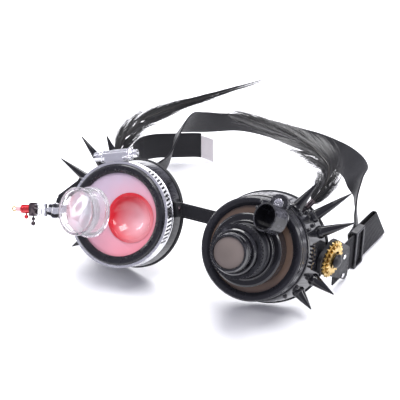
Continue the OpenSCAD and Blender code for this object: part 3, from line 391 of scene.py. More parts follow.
def painted_reflection_lens_finish(name, near, far, across, span, rough, transmission):
    """A tinted lens with a painted reflection: its colour goes across it from a pale reflected colour to its
    own deeper tint.
    """
    graph = Graph(name)
    # Painted reflection: the first colour, a pale lilac-grey, stands for the surroundings reflected at one
    # side of the lens
    share = graph.spread(graph.measure("DOT_PRODUCT", across), span[0], span[1], 0.0, 1.0)
    graph.paint(graph.mixed(graph.waver(share, 70.0, 0.08), near, far))
    graph.gloss(graph.noise(160.0, 5.0), 0.35, rough, rough + 0.06)
    graph.uniform(transmission_weight=transmission, ior=1.3, coat_weight=0.25, coat_roughness=0.05)
    return graph.material


def painted_light_bowl_finish(name, centre, span, light, deep, rough):
    """A dyed bowl with painted light: palest at one point, a painted highlight, and deepening around it into
    painted shade.
    """
    graph = Graph(name)
    # Painted highlight and shade: the colour goes from the pale colour at one point to the deep colour away
    # from it
    share = graph.spread(graph.measure("DISTANCE", centre), span[0], span[1], 0.0, 1.0)
    graph.paint(graph.mixed(graph.waver(share, 90.0, 0.05), light, deep))
    graph.gloss(graph.noise(160.0, 5.0), 0.35, rough, rough + 0.06)
    graph.uniform(transmission_weight=0.12, ior=1.4, coat_weight=0.3, coat_roughness=0.05)
    return graph.material


def grained_finish(name, colour, cell, low, high, depth, tone=0.3, sheen=0.0):
    """Leather or rubber: small rounded cells with creases between them."""
    graph = Graph(name)
    cells = graph.add("ShaderNodeTexVoronoi", {"Vector": graph.place, "Scale": cell}, feature="SMOOTH_F1")
    folds = graph.noise(cell * 0.25, 4.0)
    graph.paint(graph.patchy(colour, 60.0, 4.0, tone))
    graph.gloss(folds, 0.3, low, high)
    graph.uniform(sheen_weight=sheen, sheen_roughness=0.5, specular_ior_level=0.3)
    height = graph.math("ADD", cells.outputs["Distance"], graph.math("MULTIPLY", folds, 0.6))
    graph.bump(height, depth, 0.0003)
    return graph.material


def woven_finish(name, colour, rib, thread, low, high, tone=0.35, depth=0.5, painted_crest_sheen=2.2):
    """Woven tape: ribs across it and threads along it, on a map that is in millimetres, with painted sheen on
    the crests of the weave and painted shade in its hollows.
    """
    colour = tuple(colour)
    graph = Graph(name)
    cloth = graph.add("ShaderNodeUVMap", uv_map="cloth").outputs["UV"]
    axes = graph.add("ShaderNodeSeparateXYZ", {0: cloth})
    ribs = graph.math("SINE", graph.math("MULTIPLY", axes.outputs["X"], 2 * math.pi / rib))
    warp = graph.math("SINE", graph.math("MULTIPLY", axes.outputs["Y"], 2 * math.pi / thread))
    weave = graph.math("MULTIPLY", ribs, warp)
    height = graph.math("ADD", graph.math("MULTIPLY", ribs, 0.6), graph.math("MULTIPLY", weave, 0.5))
    fuzz = graph.noise(900.0, 3.0)
    # Painted light: the crests of the weave are painted paler by the sheen factor, and the hollows darker by
    # the tone
    share = graph.math("MULTIPLY", graph.spread(height, -1.0, 1.0, 0.0, 1.0),
                       graph.spread(fuzz, 0.2, 0.8, 0.5, 1.0))
    graph.paint(graph.mixed(share, shade(colour, 1 - tone), shade(colour, painted_crest_sheen)))
    graph.gloss(fuzz, 0.3, low, high)
    graph.uniform(sheen_weight=0.04, sheen_roughness=0.4, specular_ior_level=0.22)
    graph.bump(graph.math("ADD", height, graph.math("MULTIPLY", fuzz, 0.8)), depth, 0.00018)
    return graph.material


def strand_finish(name, dark, light):
    """Feather strands: near black, with paler and duller ones among them."""
    graph = Graph(name)
    tone = graph.add("ShaderNodeAttribute", attribute_name="strand_tone").outputs["Fac"]
    streak = graph.math("MULTIPLY", tone, graph.spread(graph.noise(300.0, 2.0), 0.3, 0.7, 0.5, 1.0))
    graph.paint(graph.mixed(streak, dark, light))
    graph.feed(graph.shader.inputs["Roughness"], graph.spread(tone, 0.0, 1.0, 0.32, 0.55))
    graph.uniform(sheen_weight=0.2, sheen_roughness=0.4)
    return graph.material


def table_finish():
    """The pale, faintly uneven table."""
    graph = Graph("White table")
    graph.paint(graph.mixed(graph.noise(2.0, 2.0), (0.93, 0.93, 0.955), (0.96, 0.96, 0.975)))
    graph.uniform(roughness=0.45, specular_ior_level=0.25)
    return graph.material


FINISHES = {}


def make_plastics(colours):
    """Makes the finishes of the moulded, sewn and cut black pieces."""
    black = tuple(colours.gloss_black)
    FINISHES.update({
        "gloss_black": hard_finish("Gloss black plastic", black, 0.10, 0.24, coat=0.35, grain_depth=0.05,
                                   worn=(0.06, 0.06, 0.07)),
        "ring_black": hard_finish("Lens ring plastic", shade(black, 1.8), 0.22, 0.36, coat=0.25,
                                  grain_depth=0.06, worn=(0.08, 0.08, 0.09)),
        "satin_black": hard_finish("Satin black plastic", shade(black, 1.6), 0.30, 0.46, grain_depth=0.10,
                                   worn=(0.07, 0.07, 0.08)),
        "pad_rubber": grained_finish("Soft pad rubber", (0.016, 0.016, 0.018), 1600.0, 0.62, 0.8, 0.25),
        "leather": grained_finish("Black leather", (0.007, 0.007, 0.009), 900.0, 0.36, 0.58, 0.35,
                                  sheen=0.05),
    })


def make_glasses(colours):
    """Makes the finishes of the lenses and the other clear pieces."""
    low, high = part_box("loupe_glass")
    split = ((low + high) / 2).dot(LOUPE_PAINTED_LIGHT_ACROSS) - LOUPE_PAINTED_LIGHT_SPLIT * MM
    FINISHES.update({
        # The cut lens's pink and pale grey are a painted glow and a painted reflection
        "cut_glass": cut_glass_painted_light_finish("Cut loupe lens with painted light", (0.93, 0.55, 0.62), (0.84, 0.85, 0.90), split),
        "rim_clear": glass_finish("Clear loupe barrel", (0.95, 0.96, 0.98), 0.015, 0.9, 1.49),
        "nose_glass": glass_finish("Smoked nose lens", (0.20, 0.165, 0.15), 0.12, 0.15, tone=0.5),
        "bronze_glass": glass_finish("Bronze lens", colours.bronze_lens, 0.07, 0.12, 1.5, tone=0.3),
        "pink_sleeve": glass_finish("Pink sleeve", (0.93, 0.55, 0.58), 0.12, 0.35),
        # The red lens's lilac-grey at its upper left is a painted reflection; the red lens colour is its own
        # tint
        "red_lens": painted_reflection_lens_finish("Red lens with painted reflection", (0.62, 0.50, 0.62), tuple(colours.red_lens),
                                     (0.75, 0.0, -0.66), (-0.072, -0.034), 0.06, 0.12),
        # The dish's pale colour is a painted highlight; its deep red is the dish's own red and also stands
        # for painted shade away from that point
        "red_dish": painted_light_bowl_finish("Red dish with painted light", eye_frame(RED) @ DISH_PAINTED_HIGHLIGHT, (0.002, 0.0165),
                                (0.96, 0.56, 0.62), tuple(colours.red_dish), 0.07),
    })


def make_metals(colours):
    """Makes the finishes of the steel, brass and anodised pieces."""
    FINISHES.update({
        "steel": hard_finish("Polished steel", (0.80, 0.80, 0.82), 0.10, 0.26, metallic=1.0, tone=0.06,
                             grain_depth=0.05, brush=(1, 1, 12)),
        "band_steel": hard_finish("Band steel", (0.74, 0.74, 0.76), 0.16, 0.34, metallic=1.0, tone=0.08,
                                  grain_depth=0.08, brush=(1, 8, 1)),
        "brass": hard_finish("Stamped brass", colours.brass, 0.26, 0.40, metallic=1.0, tone=0.16,
                             grain_depth=0.06, worn=(0.95, 0.78, 0.42)),
        "red_anodised": hard_finish("Red anodised", colours.nut_red, 0.14, 0.26, metallic=0.5, coat=0.6,
                                    tone=0.15),
        "dark_metal": hard_finish("Dark metal", (0.045, 0.03, 0.038), 0.16, 0.30, metallic=0.6, coat=0.3,
                                  worn=(0.25, 0.2, 0.2)),
    })


def make_cloths(colours):
    """Makes the finishes of the tapes, the thread and the feathers."""
    black = tuple(colours.webbing)
    FINISHES.update({
        # Each tape's weave carries a painted sheen on its crests and painted shade in its hollows
        "webbing": woven_finish("Ribbed webbing", black, 1.5, 0.9, 0.5, 0.7, depth=0.6),
        "elastic": woven_finish("Woven elastic", shade(black, 1.1), 0.55, 1.3, 0.42, 0.58, depth=0.35),
        "tag": woven_finish("White tape", (0.78, 0.74, 0.76), 0.5, 0.5, 0.6, 0.75, tone=0.12, depth=0.3,
                            painted_crest_sheen=1.15),
        "thread": hard_finish("Sewing thread", (0.03, 0.03, 0.034), 0.45, 0.6, grain=3000.0, grain_depth=0.3),
        "feather": strand_finish("Feather strands", (0.0025, 0.0025, 0.003), (0.052, 0.050, 0.056)),
        "quill": hard_finish("Quill", (0.02, 0.018, 0.017), 0.3, 0.45, grain=2000.0, grain_depth=0.2),
    })


# Making pieces


def finished(name, mesh, finish, node, replaces=()):
    """Links a mesh as a piece that rides with a solid node, with its finish."""
    body = frame["nodes"][node]["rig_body"]
    piece = bpy.data.objects.new(name, mesh)
    bpy.context.scene.collection.objects.link(piece)
    mesh.materials.clear()
    mesh.materials.append(FINISHES[finish])
    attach(piece, body)
    if replaces:
        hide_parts(*replaces)
    return piece


def smoothed(form, name):
    """Turns a bmesh into a mesh with smooth faces."""
    mesh = bpy.data.meshes.new(name)
    form.to_mesh(mesh)
    form.free()
    for face in mesh.polygons:
        face.use_smooth = True
    return mesh


def placed(form, name, finish, node, place, replaces=(), angle=35):
    """Turns a bmesh in millimetres into a finished piece in its place, facing outwards."""
    bmesh.ops.transform(form, matrix=place, verts=form.verts)
    bmesh.ops.recalc_face_normals(form, faces=form.faces)
    mesh = smoothed(form, name)
    mesh.set_sharp_from_angle(angle=math.radians(angle))
    return finished(name, mesh, finish, node, replaces)


def rounded_edges(piece, width, segments, angle):
    """Rounds a piece's sharp edges by a width in millimetres."""
    bevel = piece.modifiers.new("Rounded edges", "BEVEL")
    bevel.width = width * MM
    bevel.segments = segments
    bevel.limit_method = "ANGLE"
    bevel.angle_limit = math.radians(angle)
    return bevel


def clean_copy(node):
    """A copy of a solid node's mesh with its loose triangles joined."""
    form = bmesh.new()
    form.from_mesh(frame["nodes"][node].data)
    bmesh.ops.remove_doubles(form, verts=form.verts, dist=0.002 * MM)
    bmesh.ops.dissolve_limit(form, angle_limit=math.radians(0.5), verts=form.verts, edges=form.edges)
    return form


def dress(node, finish, rounding, segments=2):
    """Stands a clean copy of a solid node in its place, its edges rounded by a width in millimetres."""
    mesh = smoothed(clean_copy(node), node + "_finished")
    mesh.set_sharp_from_angle(angle=math.radians(SHARP_ANGLE))
    piece = finished(node + "_finished", mesh, finish, node, [node])
    width = rounding * bpy.context.scene.goggles_sizes.edge_round
    if width > 0:
        rounded_edges(piece, width, segments, SHARP_ANGLE).harden_normals = True


def cloth_grid(columns, rows, travel_of, width):
    """A grid of one unit by one, mapped in millimetres along and across a tape."""
    form = bmesh.new()
    cloth = form.loops.layers.uv.new("cloth")
    bmesh.ops.create_grid(form, x_segments=columns, y_segments=rows, size=0.5, calc_uvs=False)
    for face in form.faces:
        for loop in face.loops:
            loop[cloth].uv = (travel_of(loop.vert.co.x + 0.5), loop.vert.co.y * width)
    return form


def ribbon_form(route, leans, width, ripple):
    """A flat band along a route, mapped in millimetres, as a grid bent into place."""
    last = len(route) - 1
    lengths = [0.0]
    for i in range(last):
        lengths.append(lengths[-1] + (route[i + 1] - route[i]).length)
    form = cloth_grid(last, BAND_ROWS, lambda share: lengths[round(share * last)], width)
    for vert in form.verts:
        i = round((vert.co.x + 0.5) * last)
        along = tangent_at(route, i)
        lean = square_to(leans[i], along)
        share = vert.co.y
        vert.co = route[i] + lean * share * width + along.cross(lean) * ripple(lengths[i], share)
    return form


def thickened(piece, thick, rounding):
    """Gives a band its thickness and round edges, in millimetres."""
    wall = piece.modifiers.new("Thickness", "SOLIDIFY")
    wall.thickness = thick * MM
    wall.offset = 0.0
    wall.use_even_offset = False
    rounded_edges(piece, rounding, segments=2, angle=50)


def stitch_row(form, points, facing, sizes):
    """Adds one stitch after another along a line of points, lying on a surface."""
    run = smooth_route(points, 12)
    long = sizes.stitch_pitch * 0.36 / sizes.stitch_r
    flat = 0.75
    travelled = 0.0
    due = 0.0
    for i in range(len(run) - 1):
        step = run[i + 1] - run[i]
        while due < travelled + step.length:
            centre = run[i] + step * ((due - travelled) / max(step.length, 1e-6))
            along = step.normalized()
            up = square_to(facing, along)
            turn = Matrix((along, up.cross(along), up)).transposed().to_4x4()
            shape = Matrix.Diagonal((long, 1, flat, 1))
            bmesh.ops.create_icosphere(form, subdivisions=1, radius=sizes.stitch_r,
                                       matrix=Matrix.Translation(centre) @ turn @ shape)
            due += sizes.stitch_pitch
        travelled += step.length


class GogglesStage(bpy.types.Operator):
    """Sets up the pale table, the studio light and the camera"""

    bl_idname = "goggles.stage"
    bl_label = "Stage"
    bl_options = {"REGISTER", "UNDO"}

    # Where the camera stands, in degrees and millimetres, and what it looks at in the frame of the table
    AZIMUTH = 24.17
    ELEVATION = 33.09
    DISTANCE = 622.7
    LENS = 98.78
    SENSOR = 36.0
    TARGET = Vector((11.59, 0.0, 73.41))

    # The table's size and how far it lies under the goggles, in metres
    TABLE_SIZE = 6.0
    TABLE_DROP = 0.0002

    # The even light all round, and each lamp's place and size in metres and its power in watts
    SURROUND = (0.84, 0.83, 1.0, 1)
    SURROUND_STRENGTH = 0.58
    SOFTBOXES = (("Key", (-0.35, 0.75, 0.95), (0.9, 0.9), 21.0),
                 ("Top", (0.25, -0.15, 1.15), (0.7, 0.5), 11.0),
                 ("Right", (1.05, 0.05, 0.45), (0.2, 0.9), 6.0),
                 ("Left", (-1.0, -0.25, 0.5), (0.2, 0.9), 5.0))
    AIM = Vector((0, 0, 0.04))

    def execute(self, context):
        scene = context.scene
        scene.view_settings.view_transform = "Standard"
        self.camera(scene)
        self.table(scene)
        self.surround(scene)
        for name, place, size, power in self.SOFTBOXES:
            self.softbox(scene, name, place, size, power)
        return {"FINISHED"}

    def camera(self, scene):
        """The camera, where the photograph was taken from."""
        azimuth = math.radians(self.AZIMUTH)
        elevation = math.radians(self.ELEVATION)
        back = Vector((math.sin(azimuth) * math.cos(elevation), -math.cos(azimuth) * math.cos(elevation),
                       math.sin(elevation)))
        lens = bpy.data.cameras.new("Camera")
        lens.lens = self.LENS
        lens.sensor_width = self.SENSOR
        camera = bpy.data.objects.new("Camera", lens)
        scene.collection.objects.link(camera)
        camera.location = TABLE_FRAME @ self.TARGET + back * self.DISTANCE * MM
        camera.rotation_mode = "QUATERNION"
        camera.rotation_quaternion = (-back).to_track_quat("-Z", "Y")
        scene.camera = camera

    def table(self, scene):
        """The table that the goggles lie on."""
        form = bmesh.new()
        bmesh.ops.create_grid(form, x_segments=1, y_segments=1, size=self.TABLE_SIZE / 2,
                              matrix=Matrix.Translation((0, 0, -self.TABLE_DROP)))
        mesh = bpy.data.meshes.new("Table")
        form.to_mesh(mesh)
        form.free()
        table = bpy.data.objects.new("Table", mesh)
        scene.collection.objects.link(table)
        mesh.materials.append(table_finish())

    def surround(self, scene):
        """The even light that comes from all round."""
        world = bpy.data.worlds.new("Studio") if scene.world is None else scene.world
        scene.world = world
        world.use_nodes = True
        light = world.node_tree.nodes["Background"]
        light.inputs["Color"].default_value = self.SURROUND
        light.inputs["Strength"].default_value = self.SURROUND_STRENGTH

    def softbox(self, scene, name, place, size, power):
        """A soft rectangular lamp that faces the goggles."""
        light = bpy.data.lights.new(name, "AREA")
        light.shape = "RECTANGLE"
        light.size, light.size_y = size
        light.energy = power
        lamp = bpy.data.objects.new(name, light)
        scene.collection.objects.link(lamp)
        lamp.location = place
        lamp.rotation_mode = "QUATERNION"
        lamp.rotation_quaternion = (self.AIM - Vector(place)).to_track_quat("-Z", "Y")


class GogglesCups(bpy.types.Operator):
    """Finishes the two cups and their lens rings"""

    bl_idname = "goggles.cups"
    bl_label = "Cups and Rings"
    bl_options = {"REGISTER", "UNDO"}

    def execute(self, context):
        for node in ("red_cup", "scope_cup"):
            dress(node, "gloss_black", 0.3)
        dress("red_lens_ring", "ring_black", 0.3)
        dress("scope_lens_ring", "ring_black", 0.2)
        return {"FINISHED"}


class GogglesPads(bpy.types.Operator):
    """Models the soft pads on the face side of the cups"""

    bl_idname = "goggles.pads"
    bl_label = "Face Pads"
    bl_options = {"REGISTER", "UNDO"}

    SIDES = 96
    CUP_LAP = 0.4
    SEAM_DEEP = 0.35

    def execute(self, context):
        for side, node in ((RED, "red_face_pad"), (SCOPE, "scope_face_pad")):
            self.pad(side, node)
        return {"FINISHED"}

    def pad(self, side, node):
        """One pad: a ring spun from its section, then slanted and widened as the cup's end is."""
        inner = cup_radius(SHELL_END) - CUP_WALL + self.CUP_LAP
        outer = cup_radius(SHELL_END) + PAD_PROUD
        middle = (inner + outer) / 2
        groove = outer - self.SEAM_DEEP
        section = [(inner + 0.5, 0.0), (outer - 0.3, 0.0), (outer, 0.3), (outer, 1.1), (groove, 1.35),
                   (outer, 1.6), (outer, 3.2), (outer - 0.5, 4.1), (outer - 1.4, PAD_THICK - 0.08),
                   (middle, PAD_THICK), (inner + 1.2, PAD_THICK - 0.15), (inner + 0.25, 3.9), (inner, 3.0),
                   (inner, 0.6)]
        form = bmesh.new()
        rim = [form.verts.new((r, SHELL_END + depth, 0)) for r, depth in section]
        edges = [form.edges.new((rim[i], rim[(i + 1) % len(rim)])) for i in range(len(rim))]
        bmesh.ops.spin(form, geom=rim + edges, cent=(0, 0, 0), axis=(0, 1, 0), angle=2 * math.pi,
                       steps=self.SIDES, use_merge=True)
        slope = side * math.tan(math.radians(FACE_SLANT))
        for vert in form.verts:
            shift = slope * vert.co.x
            grow = cup_radius(SHELL_END + shift) / cup_radius(SHELL_END)
            vert.co = Vector((vert.co.x * grow, vert.co.y + shift, vert.co.z * grow))
        piece = placed(form, node + "_soft", "pad_rubber", node, eye_frame(side), [node], angle=70)


class GogglesLenses(bpy.types.Operator):
    """Gives the lenses their glass"""

    bl_idname = "goggles.lenses"
    bl_label = "Lenses"
    bl_options = {"REGISTER", "UNDO"}

    def execute(self, context):
        dress("red_lens", "red_lens", 0.1)
        dress("red_lens_dish", "red_dish", 0.25)
        dress("bronze_lens", "bronze_glass", 0.1)
        dress("nose_lens", "nose_glass", 0.1)
        return {"FINISHED"}


class GogglesClamp(bpy.types.Operator):
    """Finishes the slotted clamp band, its housing and its screw"""

    bl_idname = "goggles.clamp"
    bl_label = "Clamp Band"
    bl_options = {"REGISTER", "UNDO"}

    def execute(self, context):
        dress("clamp_band", "band_steel", 0.12)
        dress("clamp_housing", "steel", 0.35, segments=3)
        dress("clamp_screw", "steel", 0.25)
        return {"FINISHED"}


class GogglesLoupe(bpy.types.Operator):
    """Finishes the loupe, its hinge and the twin-rod arm beyond it"""

    bl_idname = "goggles.loupe"
    bl_label = "Loupe and Arm"
    bl_options = {"REGISTER", "UNDO"}

    def execute(self, context):
        dress("loupe_bracket", "satin_black", 0.2)
        dress("loupe_hinge_pin", "steel", 0.2)
        dress("loupe_arm", "steel", 0.3)
        dress("loupe_ring", "rim_clear", 0.2)
        dress("loupe_glass", "cut_glass", 0.0)
        dress("arm_rods", "steel", 0.12)
        dress("arm_pivot_pin", "steel", 0.15)
        dress("arm_block", "dark_metal", 0.35)
        dress("arm_red_nut", "red_anodised", 0.15)
        dress("arm_sleeve", "pink_sleeve", 0.25)
        dress("arm_eyelet", "brass", 0.0)
        dress("arm_thumb_screw", "red_anodised", 0.0)
        dress("arm_beads", "dark_metal", 0.0)
        return {"FINISHED"}


class GogglesScope(bpy.types.Operator):
    """Finishes the telescoping scope"""

    bl_idname = "goggles.scope"
    bl_label = "Scope"
    bl_options = {"REGISTER", "UNDO"}

    def execute(self, context):
        dress("scope_base", "gloss_black", 0.3)
        dress("focus_ring", "satin_black", 0.08)
        dress("draw_tube", "gloss_black", 0.25)
        dress("nose_tube", "gloss_black", 0.2)
        return {"FINISHED"}


class GogglesSight(bpy.types.Operator):
    """Finishes the small sight tube and the knob that holds it"""

    bl_idname = "goggles.sight"
    bl_label = "Sight Tube"
    bl_options = {"REGISTER", "UNDO"}

    def execute(self, context):
        dress("sight_bracket", "gloss_black", 0.25)
        dress("sight_fork", "gloss_black", 0.3)
        dress("sight_tube", "gloss_black", 0.15)
        dress("sight_knob", "satin_black", 0.15)
        dress("sight_screw", "steel", 0.15)
        return {"FINISHED"}


class GogglesSpikes(bpy.types.Operator):
    """Finishes the spikes and studs at the temples and the sockets of the feathers"""

    bl_idname = "goggles.spikes"
    bl_label = "Spikes and Studs"
    bl_options = {"REGISTER", "UNDO"}

    def execute(self, context):
        for node in ("red_spikes", "scope_spikes"):
            dress(node, "gloss_black", 0.15)
        for node in ("red_studs", "scope_studs"):
            dress(node, "gloss_black", 0.0)
        dress("feather_ferrules", "dark_metal", 0.15)
        return {"FINISHED"}


class GogglesGears(bpy.types.Operator):
    """Finishes the two brass gears and their axle"""

    bl_idname = "goggles.gears"
    bl_label = "Gears"
    bl_options = {"REGISTER", "UNDO"}

    def execute(self, context):
        dress("gear_large", "brass", 0.12)
        dress("gear_small", "brass", 0.12)
        dress("gear_axle", "satin_black", 0.2)
        return {"FINISHED"}


class GogglesLeather(bpy.types.Operator):
    """Finishes the leather wings and the bridge, and sews their edges"""

    bl_idname = "goggles.leather"
    bl_label = "Wings and Bridge"
    bl_options = {"REGISTER", "UNDO"}

    # Corners of the seam on a wing, in its strap frame
    SEAM = ((1.2, 27.0), (3.2, 35.5), (13.0, 38.6), (21.5, 32.5), (29.0, 25.2), (34.2, 22.0), (34.2, 5.6),
            (29.0, 4.0), (22.0, 13.0), (13.0, 19.0), (4.0, 25.2), (1.2, 27.0))
    # The wing's outer face in that frame, and the bridge in the frame between the eyes
    WING_OUT = WEB_THICK + 0.05 + 2.4
    BRIDGE_DEPTH = 20
    BRIDGE_Z = 10
    BRIDGE_W = 8.8
    BRIDGE_THICK = 2
    BRIDGE_SEAM_REACH = 11.5
    BRIDGE_SEAM_IN = 1.1
    SEAM_PROUD = 0.06

    def execute(self, context):
        sizes = context.scene.goggles_sizes
        for side, node in ((RED, "red_wing"), (SCOPE, "scope_wing")):
            dress(node, "leather", 0.75, segments=3)
            form = bmesh.new()
            line = [Vector((self.WING_OUT + self.SEAM_PROUD, y, z)) for y, z in self.SEAM]
            stitch_row(form, line, Vector((1, 0, 0)), sizes)
            placed(form, node + "_seam", "thread", node, strap_frame(side))
        dress("wing_rivets", "steel", 0.2)
        dress("bridge", "leather", 0.5, segments=3)
        form = bmesh.new()
        front = self.BRIDGE_DEPTH - self.BRIDGE_THICK / 2 - self.SEAM_PROUD
        reach = self.BRIDGE_SEAM_REACH
        for edge in (-1, 1):
            height = self.BRIDGE_Z + edge * (self.BRIDGE_W / 2 - self.BRIDGE_SEAM_IN)
            line = [Vector((x, front, height)) for x in (-reach, -reach / 2, 0, reach / 2, reach)]
            stitch_row(form, line, Vector((0, -1, 0)), sizes)
        place = eye_frame(SCOPE) @ Matrix.Translation((-EYE_X, 0, 0))
        placed(form, "bridge_seam", "thread", "bridge", place)
        dress("bridge_rivets", "dark_metal", 0.1)
        return {"FINISHED"}


class GogglesWebbing(bpy.types.Operator):
    """Models the folded webbing and finishes its sliders"""

    bl_idname = "goggles.webbing"
    bl_label = "Side Webbing"
    bl_options = {"REGISTER", "UNDO"}

    ROWS = 10
    RIB_FACES = 4
    EDGE_IN = 0.4

    def execute(self, context):
        sizes = context.scene.goggles_sizes
        for side, node in ((RED, "red_webbing"), (SCOPE, "scope_webbing")):
            self.folded_tape(side, node, sizes)
        for node in ("red_slider", "scope_slider"):
            dress(node, "satin_black", 0.4, segments=3)
        return {"FINISHED"}

    def folded_tape(self, side, node, sizes):
        """One tape: the outer layer, the slanted fold and the inner layer."""
        bend = LAYER_GAP / 2 + WEB_THICK / 2
        outer_len = WEB_END - WEB_START
        bend_len = math.pi * bend
        total = outer_len + bend_len + INNER_LAYER_LEN
        columns = int(total / (sizes.rib_pitch / self.RIB_FACES))
        form = cloth_grid(columns, self.ROWS, lambda share: share * total, WEB_W)
        for vert in form.verts:
            travel = (vert.co.x + 0.5) * total
            height = vert.co.y * (WEB_W - self.EDGE_IN)
            slant = -height * math.tan(math.radians(FOLD_SLANT))
            ends = min(1.0, travel / 2, (total - travel) / 2)
            rib = sizes.rib_height * math.sin(2 * math.pi * travel / sizes.rib_pitch) * ends
            middle = Vector((-LAYER_GAP / 2, WEB_END + slant, WEB_Z + WEB_W / 2 + height))
            if travel < outer_len:
                y = WEB_START + (travel / outer_len) * (outer_len + slant)
                vert.co = Vector((WEB_THICK / 2 + rib, y, middle.z))
            elif travel < outer_len + bend_len:
                turn = (travel - outer_len) / bend_len * math.pi
                reach = bend + rib
                vert.co = middle + Vector((reach * math.cos(turn), reach * math.sin(turn), 0))
            else:
                back = (travel - outer_len - bend_len) / INNER_LAYER_LEN
                y = WEB_END + slant - back * (INNER_LAYER_LEN + slant)
                vert.co = Vector((-LAYER_GAP - WEB_THICK / 2 - rib, y, middle.z))
        bmesh.ops.reverse_faces(form, faces=form.faces)
        bmesh.ops.transform(form, matrix=strap_frame(side), verts=form.verts)
        if side < 0:
            bmesh.ops.reverse_faces(form, faces=form.faces)
        mesh = smoothed(form, node + "_woven")
        piece = finished(node + "_woven", mesh, "webbing", node, [node])
        thickened(piece, WEB_THICK - BAND_THINNER, 0.25)


class GogglesHeadStrap(bpy.types.Operator):
    """Models the elastic, its loose end and the blank tag"""

    bl_idname = "goggles.head_strap"
    bl_label = "Head Strap"
    bl_options = {"REGISTER", "UNDO"}

    # Points along the elastic, and the lean of its width at each
    ROUTE = (side_point(SCOPE, STRAP_X, SLIDER_Y - 2, 14),
             side_point(SCOPE, STRAP_X - 1, SLIDER_Y + 9, 16.5),
             (79, 92, 23), (76, 100, 31), (74, 108.5, 36), (70.5, 118, 37.5), (65, 129, 36), (57, 139, 34),
             (46, 151, 30), (30, 163, 26.5), (8, 174, 22.5), (-15, 180, 21.5), (-38, 180, 21),
             (-54, 172, 21.5), (-62.5, 158, 27), (-63.5, 144, 33.5), (-62.5, 132, 34.5), (-61, 119.5, 29.5),
             (-62, 107.5, 21), (-70, 94, 14.5),
             side_point(RED, STRAP_X - 1.4, SLIDER_Y + 9, 14),
             side_point(RED, STRAP_X, SLIDER_Y - 2, 14))
    LEANS = (side_lean(SCOPE, -0.2, 1), side_lean(SCOPE, -0.4, 0.9), (0, -0.5, 0.85), (0.2, -0.56, 0.8),
             (0.35, -0.3, 0.89), (0.63, 0.2, 0.75), (0.57, 0.4, 0.7), (0.4, 0.4, 0.82), (0.3, 0.15, 0.94),
             (0.1, 0, 1), (0, -0.2, 1), (0, -0.35, 0.94), (0, -0.4, 0.92), (0.1, -0.3, 0.94),
             (0.35, -0.1, 0.93), (0.5, 0.1, 0.85), (0.5, -0.05, 0.86), (0.4, -0.3, 0.86), (0.3, -0.4, 0.86),
             (0.1, -0.1, 1), (0, 0, 1), (0, 0, 1))
    STEPS = 14
    BOW = 0.12

    # The tag: its direction along the loose end, its thickness and how far its seams lie from its ends
    TAG_WAY = Vector((11, -1.6, 0)).normalized()
    TAG_THICK = 0.5
    TAG_NARROWER = 1.4
    TAG_WAVE = 0.14
    TAG_SEAM_IN = 1.4

    def execute(self, context):
        self.band("head_strap", self.ROUTE, self.LEANS, STRAP_W - BAND_NARROWER)
        points = self.tail_points()
        self.band("strap_tail", points, [(0, 0, 1)] * len(points), TAIL_W - BAND_NARROWER)
        self.tag(Vector(points[-1]), context.scene.goggles_sizes)
        return {"FINISHED"}

    def tail_points(self):
        """Points along the loose end, which leaves the slanted fold of the webbing."""
        slant = math.radians(FOLD_SLANT)
        start = (WEB_END + (WEB_Z + WEB_W / 2 - TAIL_Z + TAIL_W / 2) * math.tan(slant)
                 + (LAYER_GAP / 2 + WEB_THICK) / math.cos(slant) + 0.3)
        return (side_point(RED, -LAYER_GAP / 2, start, TAIL_Z),
                side_point(RED, -LAYER_GAP / 2, start + 5, TAIL_Z), (-91.5, 129.5, TAIL_Z),
                (-84.5, 137, TAIL_Z), (-73, 143, TAIL_Z), (-60, 149.5, TAIL_Z), (-55, 151, TAIL_Z))

    def band(self, node, points, leans, width):
        """An elastic band along chosen points, a little bowed across its width."""
        route = smooth_route(points, self.STEPS)
        ways = smooth_route(leans, self.STEPS)
        form = ribbon_form(route, ways, width, lambda travel, share: self.BOW * (1 - (2 * share) ** 2))
        piece = placed(form, node + "_woven", "elastic", node, TABLE_FRAME, [node])
        thickened(piece, STRAP_THICK - BAND_THINNER, 0.3)

    def tag(self, end, sizes):
        """The blank tape on the loose end, sewn down with two seams."""
        away = self.TAG_WAY
        points = (end + Vector((0.4, -1.3, 0)), end + away * TAG_LEN / 2 + Vector((0, -1.2, 0)),
                  end + away * TAG_LEN + Vector((0, -1.6, 0)))
        route = smooth_route(points, 8)
        form = ribbon_form(route, [Vector((0, 0, 1))] * len(route), TAIL_W - self.TAG_NARROWER,
                           lambda travel, share: self.TAG_WAVE * math.sin(travel * 0.9) * (0.4 + share))
        piece = placed(form, "tail_tag_woven", "tag", "tail_tag", TABLE_FRAME, ["tail_tag"])
        thickened(piece, self.TAG_THICK, 0.15)
        form = bmesh.new()
        out = Vector((0, 0, 1)).cross(away) * -0.36
        top = TAIL_W / 2 - 1.6
        for travel in (self.TAG_SEAM_IN, TAG_LEN - self.TAG_SEAM_IN):
            centre = end + away * travel + Vector((0, -1.25, 0)) + out
            line = [centre + Vector((0, 0, z)) for z in (-top, -3, 3, top)]
            stitch_row(form, line, out.normalized(), sizes)
        placed(form, "tail_tag_seam", "tag", "tail_tag", TABLE_FRAME)


